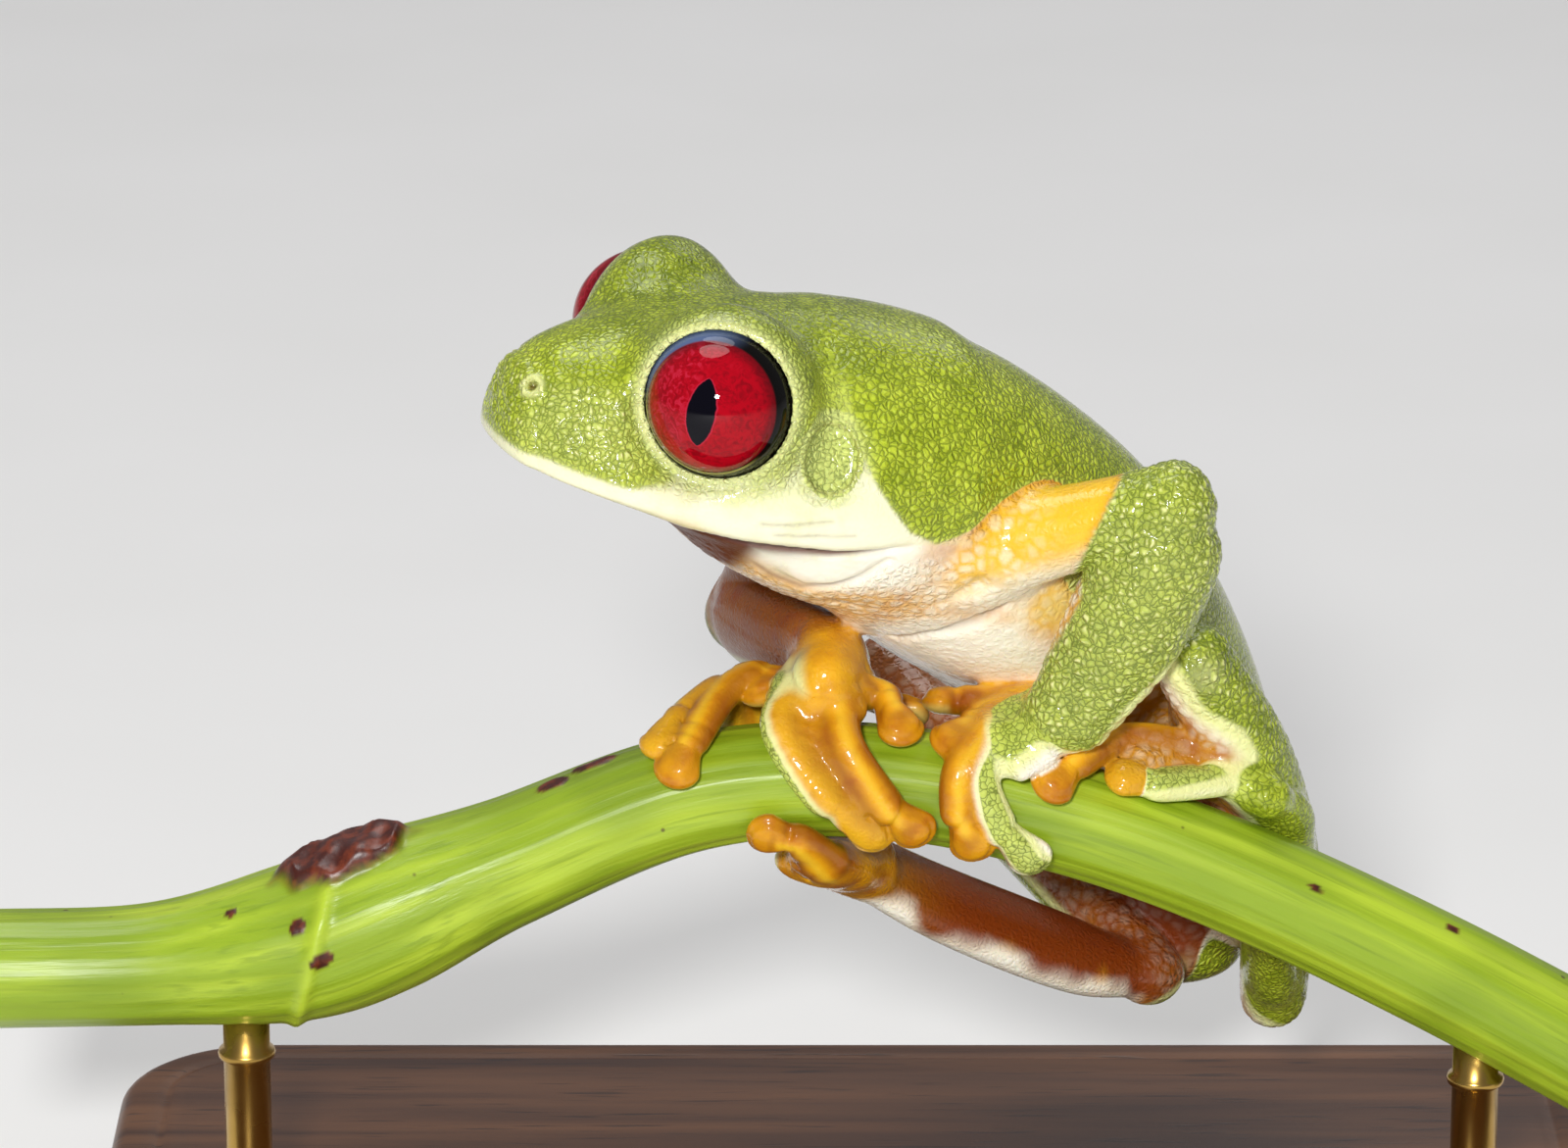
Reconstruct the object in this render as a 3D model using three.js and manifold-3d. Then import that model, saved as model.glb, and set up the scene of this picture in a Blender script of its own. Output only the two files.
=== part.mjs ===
// Red-eyed tree frog, life size, gripping a cut length of green stem on a plain display stand.
// Millimetres, +Z up. X runs along the stem, the frog's left side faces -Y and its snout points to -X.
// The body is drawn in the stem's own frame, whose origin is the stem axis under the chest, and one
// group then lifts it so that the whole model's origin is the centre of the base's underside.
import * as THREE from 'three';
import { mergeVertices } from 'three/addons/utils/BufferGeometryUtils.js';
import Module from 'manifold-3d';

const wasm = await Module();
wasm.setup();

// ---------------------------------------------------------------- driving dimensions
const GAP = 0.3;                                   // clearance between neighbouring solids
const MERGE = 0.1;                                  // edges shorter than this are closed up where solids are cut
const STEM_HEIGHT = 32;                            // stem axis above the base's underside
const BASE = { length: 84, depth: 50, thickness: 5, corner: 8, chamfer: 0.6, centreX: 0, centreY: 6 };
const ROD = { radius: 1.25, flangeRadius: 3, flangeHeight: 1.1, sides: 12, xs: [-33, 33] };

// Stem axis in the XZ plane and its radius: [x, z, radius]. The swelling is a leaf node.
const STEM = [
  [-47.5, -10.8, 3.15], [-38, -10.5, 3.25], [-30.5, -9.3, 4.2], [-25.5, -7.5, 4.3], [-19, -4.7, 3.45],
  [-9.4, -0.8, 3.15], [0, 0, 3.05], [9.4, -1.7, 3.0], [19, -5.1, 3.0], [31, -11.0, 3.1], [44, -18.4, 3.2],
];

// Head frame: centre between the eyes, nose direction and roll.
const HEAD = { at: [-9.3, -0.9, 23.4], yaw: 20, pitch: 9, roll: 4 };
const EYE = { spacing: 12.0, radius: 4.0, lid: 0.5, socket: 0.3, opening: 74, forward: 31, upward: 4 };
// Head sections, back to front: [along, half width, top, bottom]; the widest level is the lip line.
const LIP_LEVEL = -5.2;
const HEAD_SECTIONS = [
  [-13.5, 8.4, 2.0, -12.4], [-9.5, 9.2, 3.0, -12.2], [-5.5, 9.2, 3.5, -11.3], [-1.5, 8.7, 3.4, -9.7],
  [2.5, 7.7, 2.8, -7.9], [5.3, 6.6, 1.8, -6.9], [7.6, 5.2, 0.8, -6.3], [8.8, 4.1, -0.2, -6.0],
];
const NECK_CUT = -10.2;                            // head's rear face along its own axis
const THROAT_CUT = -12.6;                          // the trunk runs on below this level, under the throat
const BEYOND = 40;                                 // a reach that clears the whole head

// Trunk stations, neck to vent: at, back direction, [half width, back height, belly depth].
const TRUNK = [
  { at: [-2.5, 1.2, 18.6], up: [0.1, 0.05, 1], size: [8.0, 6.2, 6.4] },
  { at: [1.6, 3.2, 17.2], up: [0.2, 0.15, 1], size: [8.2, 6.9, 7.8] },
  { at: [5.6, 6.0, 13.6], up: [0.5, 0.4, 0.8], size: [8.6, 7.4, 8.9] },
  { at: [9.8, 9.3, 8.8], up: [0.65, 0.5, 0.6], size: [8.8, 7.4, 8.2] },
  { at: [13.6, 12.6, 3.0], up: [0.76, 0.57, 0.32], size: [8.0, 6.6, 7.2] },
  { at: [16.3, 15.2, -3.6], up: [0.8, 0.58, 0.1], size: [7.2, 6.1, 6.2] },
  { at: [17.6, 16.2, -10.0], up: [0.8, 0.58, -0.1], size: [6.0, 5.5, 5.4] },
  { at: [17.4, 15.6, -15.0], up: [0.8, 0.55, -0.3], size: [4.0, 3.8, 3.8] },
];

// Limb joints: points from the root outwards.
const ARM = {
  left: { shoulder: [5.9, -1.6, 13.2], elbow: [16.4, -3.4, 16.6], wrist: [10.8, -2.8, 4.7] },
  right: { shoulder: [-3.2, 7.2, 13.6], elbow: [-6.4, 14.6, 4.4], wrist: [-1.6, 2.4, 6.4] },
};
const LEG = {
  left: { hip: [21.4, 14.5, -11.0], knee: [17.4, 0.3, 6.7], heel: [22.9, 12.5, -17.2], foot: [21.8, 5.2, -7.4] },
  right: { hip: [15.2, 21.0, -10.4], knee: [1.5, 26.5, -2.5], heel: [16.3, 10.5, -15.2], foot: [-1.4, 3.6, -5.2] },
};

// Hands and feet in stem coordinates: [x, degrees round the stem from its top towards -Y, lift off it].
const HAND = {
  left: {
    palm: [[9.1, 11, 3.0], [7.9, 14, 1.9], [6.4, 30, 1.3]],
    digits: [
      [[7.0, -10, 2.0], [4.6, -14, 1.8], [3.0, -16, 1.5]],
      [[7.7, -6, 2.0], [5.4, 4, 1.3], [3.8, 38, 0.85]],
      [[5.9, 25, 1.3], [4.7, 55, 1.1], [4.9, 84, 0.95], [6.4, 119, 0.85]],
      [[6.1, 31, 1.3], [5.7, 59, 1.1], [7.1, 91, 0.95], [9.6, 117, 0.85]],
    ],
  },
  right: {
    palm: [[-1.6, 0, 3.3], [-2.2, -2, 2.1], [-2.3, 16, 1.4]],
    digits: [
      [[-1.2, -20, 1.9], [0.8, -34, 1.4], [2.6, -44, 0.9]],
      [[-1.0, -8, 2.1], [0.7, -2, 1.6], [1.8, 33, 0.85]],
      [[-1.5, 0, 1.9], [-1.0, 47, 1.3], [1.1, 88, 1.0], [3.3, 113, 0.85]],
      [[-2.9, -12, 2.3], [-4.2, 30, 1.3], [-2.5, 78, 1.0], [1.1, 122, 0.85]],
    ],
  },
};
const FOOT = {
  left: {
    palm: [[21.8, -92, 1.4], [20.6, -50, 1.4], [18.7, -15, 1.7]],
    digits: [
      [[18.8, -20, 1.6], [16.6, -36, 1.1], [14.2, -36, 0.9]],
      [[17.6, -6, 1.8], [14.5, 22, 1.1], [12.2, 24, 0.85]],
      [[17.5, -14, 2.4], [14.8, -12, 2.5], [12.2, -10, 1.8], [10.3, 25, 1.1], [9.0, 55, 0.85]],
      [[19.6, 0, 1.8], [18.0, -10, 2.1], [15.4, -10, 1.7], [12.8, 0, 1.2]],
    ],
  },
  right: {
    palm: [[0.4, -150, 3.2], [-1.4, -168, 2.0], [-2.6, 172, 1.5]],
    digits: [
      [[-1.5, 170, 1.5], [-2.6, 162, 1.4], [-3.6, 159, 1.2]],
      [[-1.8, 150, 1.4], [-3.4, 122, 1.1], [-5.8, 112, 0.85]],
      [[-2.4, -150, 1.3], [-3.0, -110, 1.3], [-3.9, -60, 1.6], [-4.4, -20, 2.2], [-5.3, -6, 1.5]],
      [[-2.8, -150, 1.3], [-4.6, -110, 1.3], [-5.2, -60, 1.8], [-5.2, -22, 2.6], [-6.8, -8, 1.7], [-8.3, 30, 1.0],
        [-9.5, 58, 0.85]],
      [[-3.2, -150, 1.3], [-5.8, -112, 1.3], [-6.6, -60, 1.6], [-6.8, -22, 2.0], [-8.5, -6, 1.1], [-9.9, 33, 0.85]],
    ],
  },
};
// Half widths and half thickness along a digit. Its pad's length ends in the disc, set back by tip.
const DIGIT = { root: 1.2, shaft: 1.02, neck: 0.86, disc: 1.32, thickness: 0.8, pad: 2.3, tip: 0.6 };
const PALM = { widths: [2.0, 2.6, 2.5], thicknesses: [1.6, 1.6, 1.2] };

// ---------------------------------------------------------------- small helpers
const vec = (p) => new THREE.Vector3(...p);
const radians = THREE.MathUtils.degToRad;
const curve = (points) => new THREE.CatmullRomCurve3(points, false, 'catmullrom', 0.5);

function toManifold(geometry) {
  const bare = geometry.clone();
  bare.deleteAttribute('normal');
  bare.deleteAttribute('uv');
  const merged = mergeVertices(bare, 1e-4);
  return new wasm.Manifold(new wasm.Mesh({
    numProp: 3,
    vertProperties: new Float32Array(merged.attributes.position.array),
    triVerts: new Uint32Array(merged.index.array),
    tolerance: MERGE,
  }));
}

function toGeometry(solid) {
  const mesh = solid.getMesh();
  const geometry = new THREE.BufferGeometry();
  geometry.setAttribute('position', new THREE.BufferAttribute(new Float32Array(mesh.vertProperties), 3));
  geometry.setIndex(new THREE.BufferAttribute(new Uint32Array(mesh.triVerts), 1));
  return geometry;
}

// Closed loft through stations { at, up, size: [half width, upper, lower] }. Sections are super-ellipses
// that narrow upwards by taper, and both ends are domed. grow thickens the whole for use as a cutter.
function loft(stations, { rows, sides, grow = 0, roundness = 1, taper = 0, domes = [1, 1], domeRows = 2 }) {
  const centres = curve(stations.map((s) => vec(s.at)));
  const ups = curve(stations.map((s) => vec(s.up)));
  const sizes = curve(stations.map((s) => new THREE.Vector3(s.size[0], s.size[1], s.size[2] ?? s.size[1])));
  const rings = [];
  const addRing = (t, scale, advance) => {
    const tangent = centres.getPoint(Math.min(t + 1e-3, 1)).sub(centres.getPoint(Math.max(t - 1e-3, 0)));
    tangent.normalize();
    const side = tangent.clone().cross(ups.getPoint(t)).normalize();
    const up = side.clone().cross(tangent).normalize();
    const size = sizes.getPoint(t).addScalar(grow);
    const centre = centres.getPoint(t).addScaledVector(tangent, advance * Math.min(size.x, size.y));
    rings.push({ centre, side, up, size: size.multiplyScalar(scale) });
  };
  for (let i = domeRows; i > 0; i--) {
    const angle = (i / (domeRows + 1)) * Math.PI / 2;
    addRing(0, Math.cos(angle), -domes[0] * Math.sin(angle));
  }
  for (let i = 0; i <= rows; i++) addRing(i / rows, 1, 0);
  for (let i = 1; i <= domeRows; i++) {
    const angle = (i / (domeRows + 1)) * Math.PI / 2;
    addRing(1, Math.cos(angle), domes[1] * Math.sin(angle));
  }
  const positions = [];
  for (const { centre, side, up, size } of rings) {
    for (let k = 0; k < sides; k++) {
      const angle = (k / sides) * Math.PI * 2;
      const c = Math.sign(Math.cos(angle)) * Math.abs(Math.cos(angle)) ** roundness;
      const s = Math.sign(Math.sin(angle)) * Math.abs(Math.sin(angle)) ** roundness;
      const lateral = size.x * c * (1 - taper * Math.max(s, 0));
      const point = centre.clone().addScaledVector(side, lateral);
      point.addScaledVector(up, s * (s > 0 ? size.y : size.z));
      positions.push(point.x, point.y, point.z);
    }
  }
  const pole = (t, direction) => {
    const size = sizes.getPoint(t).addScalar(grow);
    const tangent = centres.getPoint(Math.min(t + 1e-3, 1)).sub(centres.getPoint(Math.max(t - 1e-3, 0)));
    return centres.getPoint(t).addScaledVector(tangent.normalize(), direction * Math.min(size.x, size.y));
  };
  const first = pole(0, -domes[0]);
  const last = pole(1, domes[1]);
  positions.push(first.x, first.y, first.z, last.x, last.y, last.z);
  const firstIndex = rings.length * sides;
  const indices = [];
  for (let k = 0; k < sides; k++) {
    const next = (k + 1) % sides;
    for (let r = 0; r + 1 < rings.length; r++) {
      const a = r * sides + k;
      const b = r * sides + next;
      indices.push(a, b + sides, b, a, a + sides, b + sides);
    }
    const end = (rings.length - 1) * sides;
    indices.push(firstIndex, k, next, firstIndex + 1, end + next, end + k);
  }
  const geometry = new THREE.BufferGeometry();
  geometry.setAttribute('position', new THREE.Float32BufferAttribute(positions, 3));
  geometry.setIndex(indices);
  return toManifold(geometry);
}

function sphere(centre, radius, detail = 20) {
  const geometry = new THREE.SphereGeometry(radius, detail, Math.round(detail * 0.6));
  geometry.rotateX(Math.PI / 2);
  geometry.translate(centre.x, centre.y, centre.z);
  return toManifold(geometry);
}

const join = (solids) => solids.reduce((all, one) => all.add(one));

// ---------------------------------------------------------------- stem and its coordinates
const stemStations = STEM.map(([x, z, radius]) => ({ at: [x, 0, z], up: [0, 0, 1], size: [radius, radius] }));
const stemAxis = curve(stemStations.map((s) => vec(s.at)));
const stemRadius = curve(STEM.map(([x, , radius]) => new THREE.Vector3(x, radius, 0)));

function stemParameter(x) {
  let low = 0;
  let high = 1;
  for (let i = 0; i < 30; i++) {
    const middle = (low + high) / 2;
    if (stemAxis.getPoint(middle).x < x) low = middle;
    else high = middle;
  }
  return low;
}

function stemPoint([x, degrees, lift]) {
  const t = stemParameter(x);
  const along = stemAxis.getPoint(t + 1e-3).sub(stemAxis.getPoint(t - 1e-3)).normalize();
  const top = new THREE.Vector3(-along.z, 0, along.x);
  const angle = radians(degrees);
  const out = top.multiplyScalar(Math.cos(angle)).add(new THREE.Vector3(0, -Math.sin(angle), 0));
  return { at: stemAxis.getPoint(t).addScaledVector(out, stemRadius.getPoint(t).y + lift), out };
}

const makeStem = (grow) => loft(stemStations, { rows: 16, sides: 12, grow, domes: [0.05, 0.05], domeRows: 0 });

// ---------------------------------------------------------------- head and eyes
const headFrame = new THREE.Matrix4();
{
  const yaw = radians(HEAD.yaw);
  const pitch = radians(HEAD.pitch);
  const nose = new THREE.Vector3(-Math.cos(yaw) * Math.cos(pitch), -Math.sin(yaw) * Math.cos(pitch), Math.sin(pitch));
  const left = new THREE.Vector3(Math.sin(yaw), -Math.cos(yaw), 0);
  left.applyAxisAngle(nose, -radians(HEAD.roll));
  const top = nose.clone().cross(left);
  headFrame.makeBasis(nose, left, top).setPosition(vec(HEAD.at));
}
const headPoint = (along, left, up) => new THREE.Vector3(along, left, up).applyMatrix4(headFrame);
const headDirection = (along, left, up) => new THREE.Vector3(along, left, up).transformDirection(headFrame);
const eyeCentre = (side) => headPoint(0, side * EYE.spacing / 2, 0);
const eyeAxis = (side) => headDirection(
  Math.sin(radians(EYE.forward)), side * Math.cos(radians(EYE.forward)), Math.tan(radians(EYE.upward)));
const eyeball = (side, grow, detail = 14) => sphere(eyeCentre(side), EYE.radius + grow, detail);

// Everything that lies further out along the eye's axis than the lid's edge.
function eyeWindow(side) {
  const axis = eyeAxis(side);
  const depth = EYE.radius * 2;
  const reach = EYE.radius * 1.3;
  const geometry = new THREE.CylinderGeometry(reach, reach, depth, 16);
  geometry.applyQuaternion(new THREE.Quaternion().setFromUnitVectors(new THREE.Vector3(0, 1, 0), axis));
  const edge = EYE.radius * Math.cos(radians(EYE.opening));
  const centre = eyeCentre(side).addScaledVector(axis, edge + depth / 2);
  geometry.translate(centre.x, centre.y, centre.z);
  return toManifold(geometry);
}

// A box in the head's frame, used to part the head from the trunk at the neck.
function headBox(fromAlong, toAlong, halfWidth, bottom, top) {
  const geometry = new THREE.BoxGeometry(toAlong - fromAlong, halfWidth * 2, top - bottom);
  geometry.translate((fromAlong + toAlong) / 2, 0, (top + bottom) / 2);
  geometry.applyMatrix4(headFrame);
  return toManifold(geometry);
}

function makeHead(grow) {
  const up = headDirection(0, 0, 1).toArray();
  const stations = HEAD_SECTIONS.map(([along, halfWidth, top, bottom]) => ({
    at: headPoint(along, 0, LIP_LEVEL).toArray(), up, size: [halfWidth, top - LIP_LEVEL, LIP_LEVEL - bottom],
  }));
  const skull = loft(stations, {
    rows: 7, sides: 18, grow, roundness: 0.85, taper: 0.22, domes: [0.2, 0.3],
  });
  const brows = [1, -1].map((side) => eyeball(side, EYE.lid + EYE.socket + grow, 14));
  const behindNeck = headBox(-BEYOND, NECK_CUT - grow, BEYOND, -BEYOND, BEYOND);
  let solid = join([skull, ...brows]).subtract(behindNeck);
  if (grow === 0) {
    for (const side of [1, -1]) solid = solid.subtract(eyeball(side, EYE.socket)).subtract(eyeWindow(side));
  }
  return solid;
}

// ---------------------------------------------------------------- trunk and limbs
const makeTrunk = (grow) => loft(TRUNK, { rows: 13, sides: 18, grow, roundness: 0.94, domes: [0.5, 0.6] })
  .subtract(headBox(NECK_CUT - GAP + grow, BEYOND, BEYOND, THROAT_CUT, BEYOND));

// A limb length between two joints: sections are [fraction of the length, half width, half thickness].
function limb(from, to, up, sections, bow, grow, domes = [0.8, 0.8]) {
  const a = vec(from);
  const b = vec(to);
  const stations = sections.map(([t, halfWidth, halfThickness]) => {
    const at = a.clone().lerp(b, t).addScaledVector(vec(bow), 4 * t * (1 - t));
    return { at: at.toArray(), up, size: [halfWidth, halfThickness] };
  });
  return loft(stations, { rows: 6, sides: 10, grow, domes, domeRows: 1 });
}

const LIMB_SECTIONS = {
  upperArm: [[0, 2.7, 2.7], [0.35, 2.4, 2.4], [0.7, 2.1, 2.1], [1, 2.1, 2.1]],
  forearm: [[0.06, 1.8, 1.8], [0.22, 3.1, 2.5], [0.6, 3.15, 2.4], [0.85, 2.7, 1.9], [1, 2.3, 1.6]],
  shank: [[0, 2.0, 2.0], [0.3, 2.6, 2.4], [0.65, 2.4, 2.2], [1, 1.8, 1.7]],
  thigh: [[0.06, 1.5, 1.5], [0.25, 2.4, 2.0], [0.65, 3.3, 2.8], [1, 3.8, 3.4]],
  tarsus: [[0.06, 1.5, 1.4], [0.3, 2.5, 1.6], [0.7, 2.6, 1.5], [1, 2.2, 1.3]],
};

// How far each length's middle bows away from the straight line between its joints.
const STRAIGHT = [0, 0, 0];
const BOWS = {
  left: { upperArm: STRAIGHT, forearm: [0.7, 0, 0.2], shank: [2, -0.8, 0.2], thigh: STRAIGHT, tarsus: STRAIGHT },
  right: { upperArm: STRAIGHT, forearm: STRAIGHT, shank: STRAIGHT, thigh: STRAIGHT, tarsus: [0, 0, -0.9] },
};

const flesh = {
  trunk: makeTrunk,
  head: makeHead,
};
for (const side of ['left', 'right']) {
  const arm = ARM[side];
  const leg = LEG[side];
  const out = side === 'left' ? -1 : 1;
  const bow = BOWS[side];
  const lengths = {
    upper_arm: [arm.shoulder, arm.elbow, [0, 0, 1], LIMB_SECTIONS.upperArm, bow.upperArm],
    forearm: [arm.elbow, arm.wrist, [0, out, 0.2], LIMB_SECTIONS.forearm, bow.forearm],
    shank: [leg.knee, leg.heel, [1, out * 0.3, 0], LIMB_SECTIONS.shank, bow.shank],
    thigh: [leg.knee, leg.hip, [1, 0, 0.3], LIMB_SECTIONS.thigh, bow.thigh],
    tarsus: [leg.heel, leg.foot, [1, 0, 0.2], LIMB_SECTIONS.tarsus, bow.tarsus],
  };
  for (const [name, length] of Object.entries(lengths)) flesh[`${name}_${side}`] = (g) => limb(...length, g);
  for (const [name, table] of [['hand', HAND], ['foot', FOOT]]) {
    flesh[`${name}_${side}`] = (g) => paw(table[side], g);
  }
}

// ---------------------------------------------------------------- hands and feet
function stemStation(place, halfWidth, halfThickness) {
  const { at, out } = stemPoint(place);
  return { at: at.toArray(), up: out.toArray(), size: [halfWidth, halfThickness] };
}

function digit(path, grow) {
  const last = path.length - 1;
  const blend = (a, b, t) => a.map((value, i) => value + (b[i] - value) * t);
  const span = stemPoint(path[last]).at.distanceTo(stemPoint(path[last - 1]).at);
  const places = [...path.slice(0, last), blend(path[last - 1], path[last], 1 - DIGIT.tip / span)];
  const centres = places.map((place) => stemPoint(place).at);
  const stations = places.map((place, i) => {
    const t = i / last;
    const halfWidth = i === 0 ? DIGIT.root : DIGIT.shaft;
    return stemStation(place, i === last ? DIGIT.disc : halfWidth, DIGIT.thickness * (1.15 - 0.2 * t));
  });
  // The toe pad starts as a neck just short of the last place and swells to the disc.
  const padStart = Math.max(0.35, 1 - DIGIT.pad / centres[last].distanceTo(centres[last - 1]));
  const neck = stemStation(blend(places[last - 1], places[last], padStart), DIGIT.neck, DIGIT.thickness);
  stations.splice(last, 0, neck);
  return loft(stations, { rows: last + 3, sides: 6, grow, domes: [0.8, 1.5], domeRows: 1 });
}

function paw(table, grow) {
  const stations = table.palm.map((place, i) => stemStation(place, PALM.widths[i], PALM.thicknesses[i]));
  const palm = loft(stations, { rows: 3, sides: 8, grow, domes: [0.7, 0.7], domeRows: 1 });
  return join([palm, ...table.digits.map((path) => digit(path, grow))]);
}

// ---------------------------------------------------------------- stand
function makeBase() {
  const { length, depth, thickness, corner, chamfer } = BASE;
  const x = length / 2 - chamfer;
  const y = depth / 2 - chamfer;
  const outline = new THREE.Shape();
  outline.moveTo(-x + corner, -y);
  outline.lineTo(x - corner, -y);
  outline.absarc(x - corner, -y + corner, corner, -Math.PI / 2, 0);
  outline.absarc(x - corner, y - corner, corner, 0, Math.PI / 2);
  outline.absarc(-x + corner, y - corner, corner, Math.PI / 2, Math.PI);
  outline.absarc(-x + corner, -y + corner, corner, Math.PI, Math.PI * 1.5);
  const geometry = new THREE.ExtrudeGeometry(outline, {
    depth: thickness - 2 * chamfer, bevelThickness: chamfer, bevelSize: chamfer, bevelSegments: 1, curveSegments: 3,
  });
  geometry.translate(BASE.centreX, BASE.centreY, chamfer - STEM_HEIGHT);
  return toManifold(geometry);
}

function makeRod(x) {
  const foot = BASE.thickness - STEM_HEIGHT + GAP;
  const top = stemAxis.getPoint(stemParameter(x)).z;
  const { radius, flangeRadius, flangeHeight, sides } = ROD;
  const profile = [
    [0, foot], [flangeRadius, foot], [flangeRadius, foot + flangeHeight * 0.6],
    [flangeRadius - 0.5, foot + flangeHeight], [radius, foot + flangeHeight + 0.3], [radius, top], [0, top],
  ].map(([r, z]) => new THREE.Vector2(r, z));
  const geometry = new THREE.LatheGeometry(profile, sides);
  geometry.rotateX(Math.PI / 2);
  geometry.translate(x, 0, 0);
  return toManifold(geometry).subtract(makeStem(GAP));
}

// ---------------------------------------------------------------- assembly
const COLOURS = {
  leafGreen: { color: 0x7f9f1e, roughness: 0.45, metalness: 0 },
  orange: { color: 0xd98a14, roughness: 0.35, metalness: 0 },
  redEye: { color: 0xa80f1e, roughness: 0.1, metalness: 0 },
  stem: { color: 0x9fbf26, roughness: 0.4, metalness: 0 },
  walnut: { color: 0x4a2f1e, roughness: 0.45, metalness: 0 },
  brass: { color: 0xb08d4a, roughness: 0.3, metalness: 1 },
};
const model = new THREE.Group();
model.position.set(-BASE.centreX, -BASE.centreY, STEM_HEIGHT);

function place(name, solid, finish) {
  const mesh = new THREE.Mesh(toGeometry(solid), new THREE.MeshStandardMaterial(COLOURS[finish]));
  mesh.name = name;
  model.add(mesh);
}

place('stand_base', makeBase(), 'walnut');
ROD.xs.forEach((x, i) => place(`stand_rod_${['left', 'right'][i]}`, makeRod(x), 'brass'));
place('perch_stem', makeStem(0), 'stem');
place('eye_left', eyeball(1, 0), 'redEye');
place('eye_right', eyeball(-1, 0), 'redEye');

// Each piece of the body is trimmed by the ones placed before it, so that all keep the same clearance.
const cutters = [makeStem(GAP)];
for (const [name, make] of Object.entries(flesh)) {
  let solid = make(0);
  for (const cutter of cutters) solid = solid.subtract(cutter);
  place(name, solid, /hand|foot/.test(name) ? 'orange' : 'leafGreen');
  cutters.push(make(GAP));
}

const group = new THREE.Group();
group.add(model);
export default group;
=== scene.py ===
"""Red-eyed tree frog, life size, gripping a cut stem on a walnut stand.

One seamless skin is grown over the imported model's flesh, with lids, lips, folds and toe pads.
The eyes, the stem and the stand are separate pieces. All tables are in millimetres in the stem's
own frame: its origin is the stem axis under the chest, X runs along the stem and Z is up.
"""

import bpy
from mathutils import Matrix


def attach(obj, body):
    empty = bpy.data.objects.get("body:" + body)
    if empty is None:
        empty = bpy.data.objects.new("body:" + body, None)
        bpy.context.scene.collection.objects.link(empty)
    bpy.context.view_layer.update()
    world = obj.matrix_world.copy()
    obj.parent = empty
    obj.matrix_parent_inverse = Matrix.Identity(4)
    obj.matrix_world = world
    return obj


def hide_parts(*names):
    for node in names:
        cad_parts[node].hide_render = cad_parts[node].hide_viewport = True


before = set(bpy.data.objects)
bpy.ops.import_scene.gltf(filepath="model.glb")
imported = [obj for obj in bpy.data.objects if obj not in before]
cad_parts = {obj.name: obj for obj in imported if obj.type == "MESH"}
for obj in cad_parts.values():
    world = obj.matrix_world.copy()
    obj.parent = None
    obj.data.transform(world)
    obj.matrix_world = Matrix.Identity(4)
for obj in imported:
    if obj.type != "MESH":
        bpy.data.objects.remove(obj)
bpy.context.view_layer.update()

import math

import bpy
import numpy as np
import openvdb
from mathutils import Matrix, Vector

bl_info = {
    "name": "Red-eyed tree frog display model",
    "version": (1, 0, 0),
    "blender": (4, 5, 0),
    "location": "View3D > Sidebar > Tree frog",
    "description": "Builds a life-size red-eyed tree frog on a stem, with its display stand",
    "category": "Object",
}

MM = 0.001
SIDES = (("left", 1), ("right", -1))

# ------------------------------------------------------------------ the model's own tables
STEM_HEIGHT = 32.0
LIFT = np.array([0.0, -6.0, STEM_HEIGHT])     # stem frame to the model's frame
BASE = {"length": 84.0, "depth": 50.0, "thickness": 5.0, "corner": 8.0}
ROD = {"radius": 1.25, "flange": 3.0, "flange_height": 1.1, "xs": (-33.0, 33.0)}
STEM = [
    [-47.5, -10.8, 3.15], [-38, -10.5, 3.25], [-30.5, -9.3, 4.2], [-25.5, -7.5, 4.3], [-19, -4.7, 3.45],
    [-9.4, -0.8, 3.15], [0, 0, 3.05], [9.4, -1.7, 3.0], [19, -5.1, 3.0], [31, -11.0, 3.1], [44, -18.4, 3.2],
]

HEAD = {"at": [-9.3, -0.9, 23.4], "yaw": 20, "pitch": 9, "roll": 4}
EYE = {"spacing": 12.0, "radius": 4.0, "opening": 74, "forward": 31, "upward": 4, "gaze": 5}
LIP_LEVEL = -5.2
HEAD_SECTIONS = [
    [-13.5, 8.4, 2.0, -12.4], [-9.5, 9.2, 3.0, -12.2], [-5.5, 9.2, 3.5, -11.3], [-1.5, 8.7, 3.4, -9.7],
    [2.5, 7.7, 2.8, -7.9], [5.3, 6.6, 1.8, -6.9], [7.6, 5.2, 0.8, -6.3], [8.8, 4.1, -0.2, -6.0],
]
TRUNK = [
    ([-2.5, 1.2, 18.6], [0.1, 0.05, 1], [8.0, 6.2, 6.4]),
    ([1.6, 3.2, 17.2], [0.2, 0.15, 1], [8.2, 6.9, 7.8]),
    ([5.6, 6.0, 13.6], [0.5, 0.4, 0.8], [8.6, 7.4, 8.9]),
    ([9.8, 9.3, 8.8], [0.65, 0.5, 0.6], [8.8, 7.4, 8.2]),
    ([13.6, 12.6, 3.0], [0.76, 0.57, 0.32], [8.0, 6.6, 7.2]),
    ([16.3, 15.2, -3.6], [0.8, 0.58, 0.1], [7.2, 6.1, 6.2]),
    ([17.6, 16.2, -10.0], [0.8, 0.58, -0.1], [6.0, 5.5, 5.4]),
    ([17.4, 15.6, -15.0], [0.8, 0.55, -0.3], [4.0, 3.8, 3.8]),
]
ARM = {
    "left": {"shoulder": [5.9, -1.6, 13.2], "elbow": [16.4, -3.4, 16.6], "wrist": [10.8, -2.8, 4.7]},
    "right": {"shoulder": [-3.2, 7.2, 13.6], "elbow": [-6.4, 14.6, 4.4], "wrist": [-1.6, 2.4, 6.4]},
}
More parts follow.
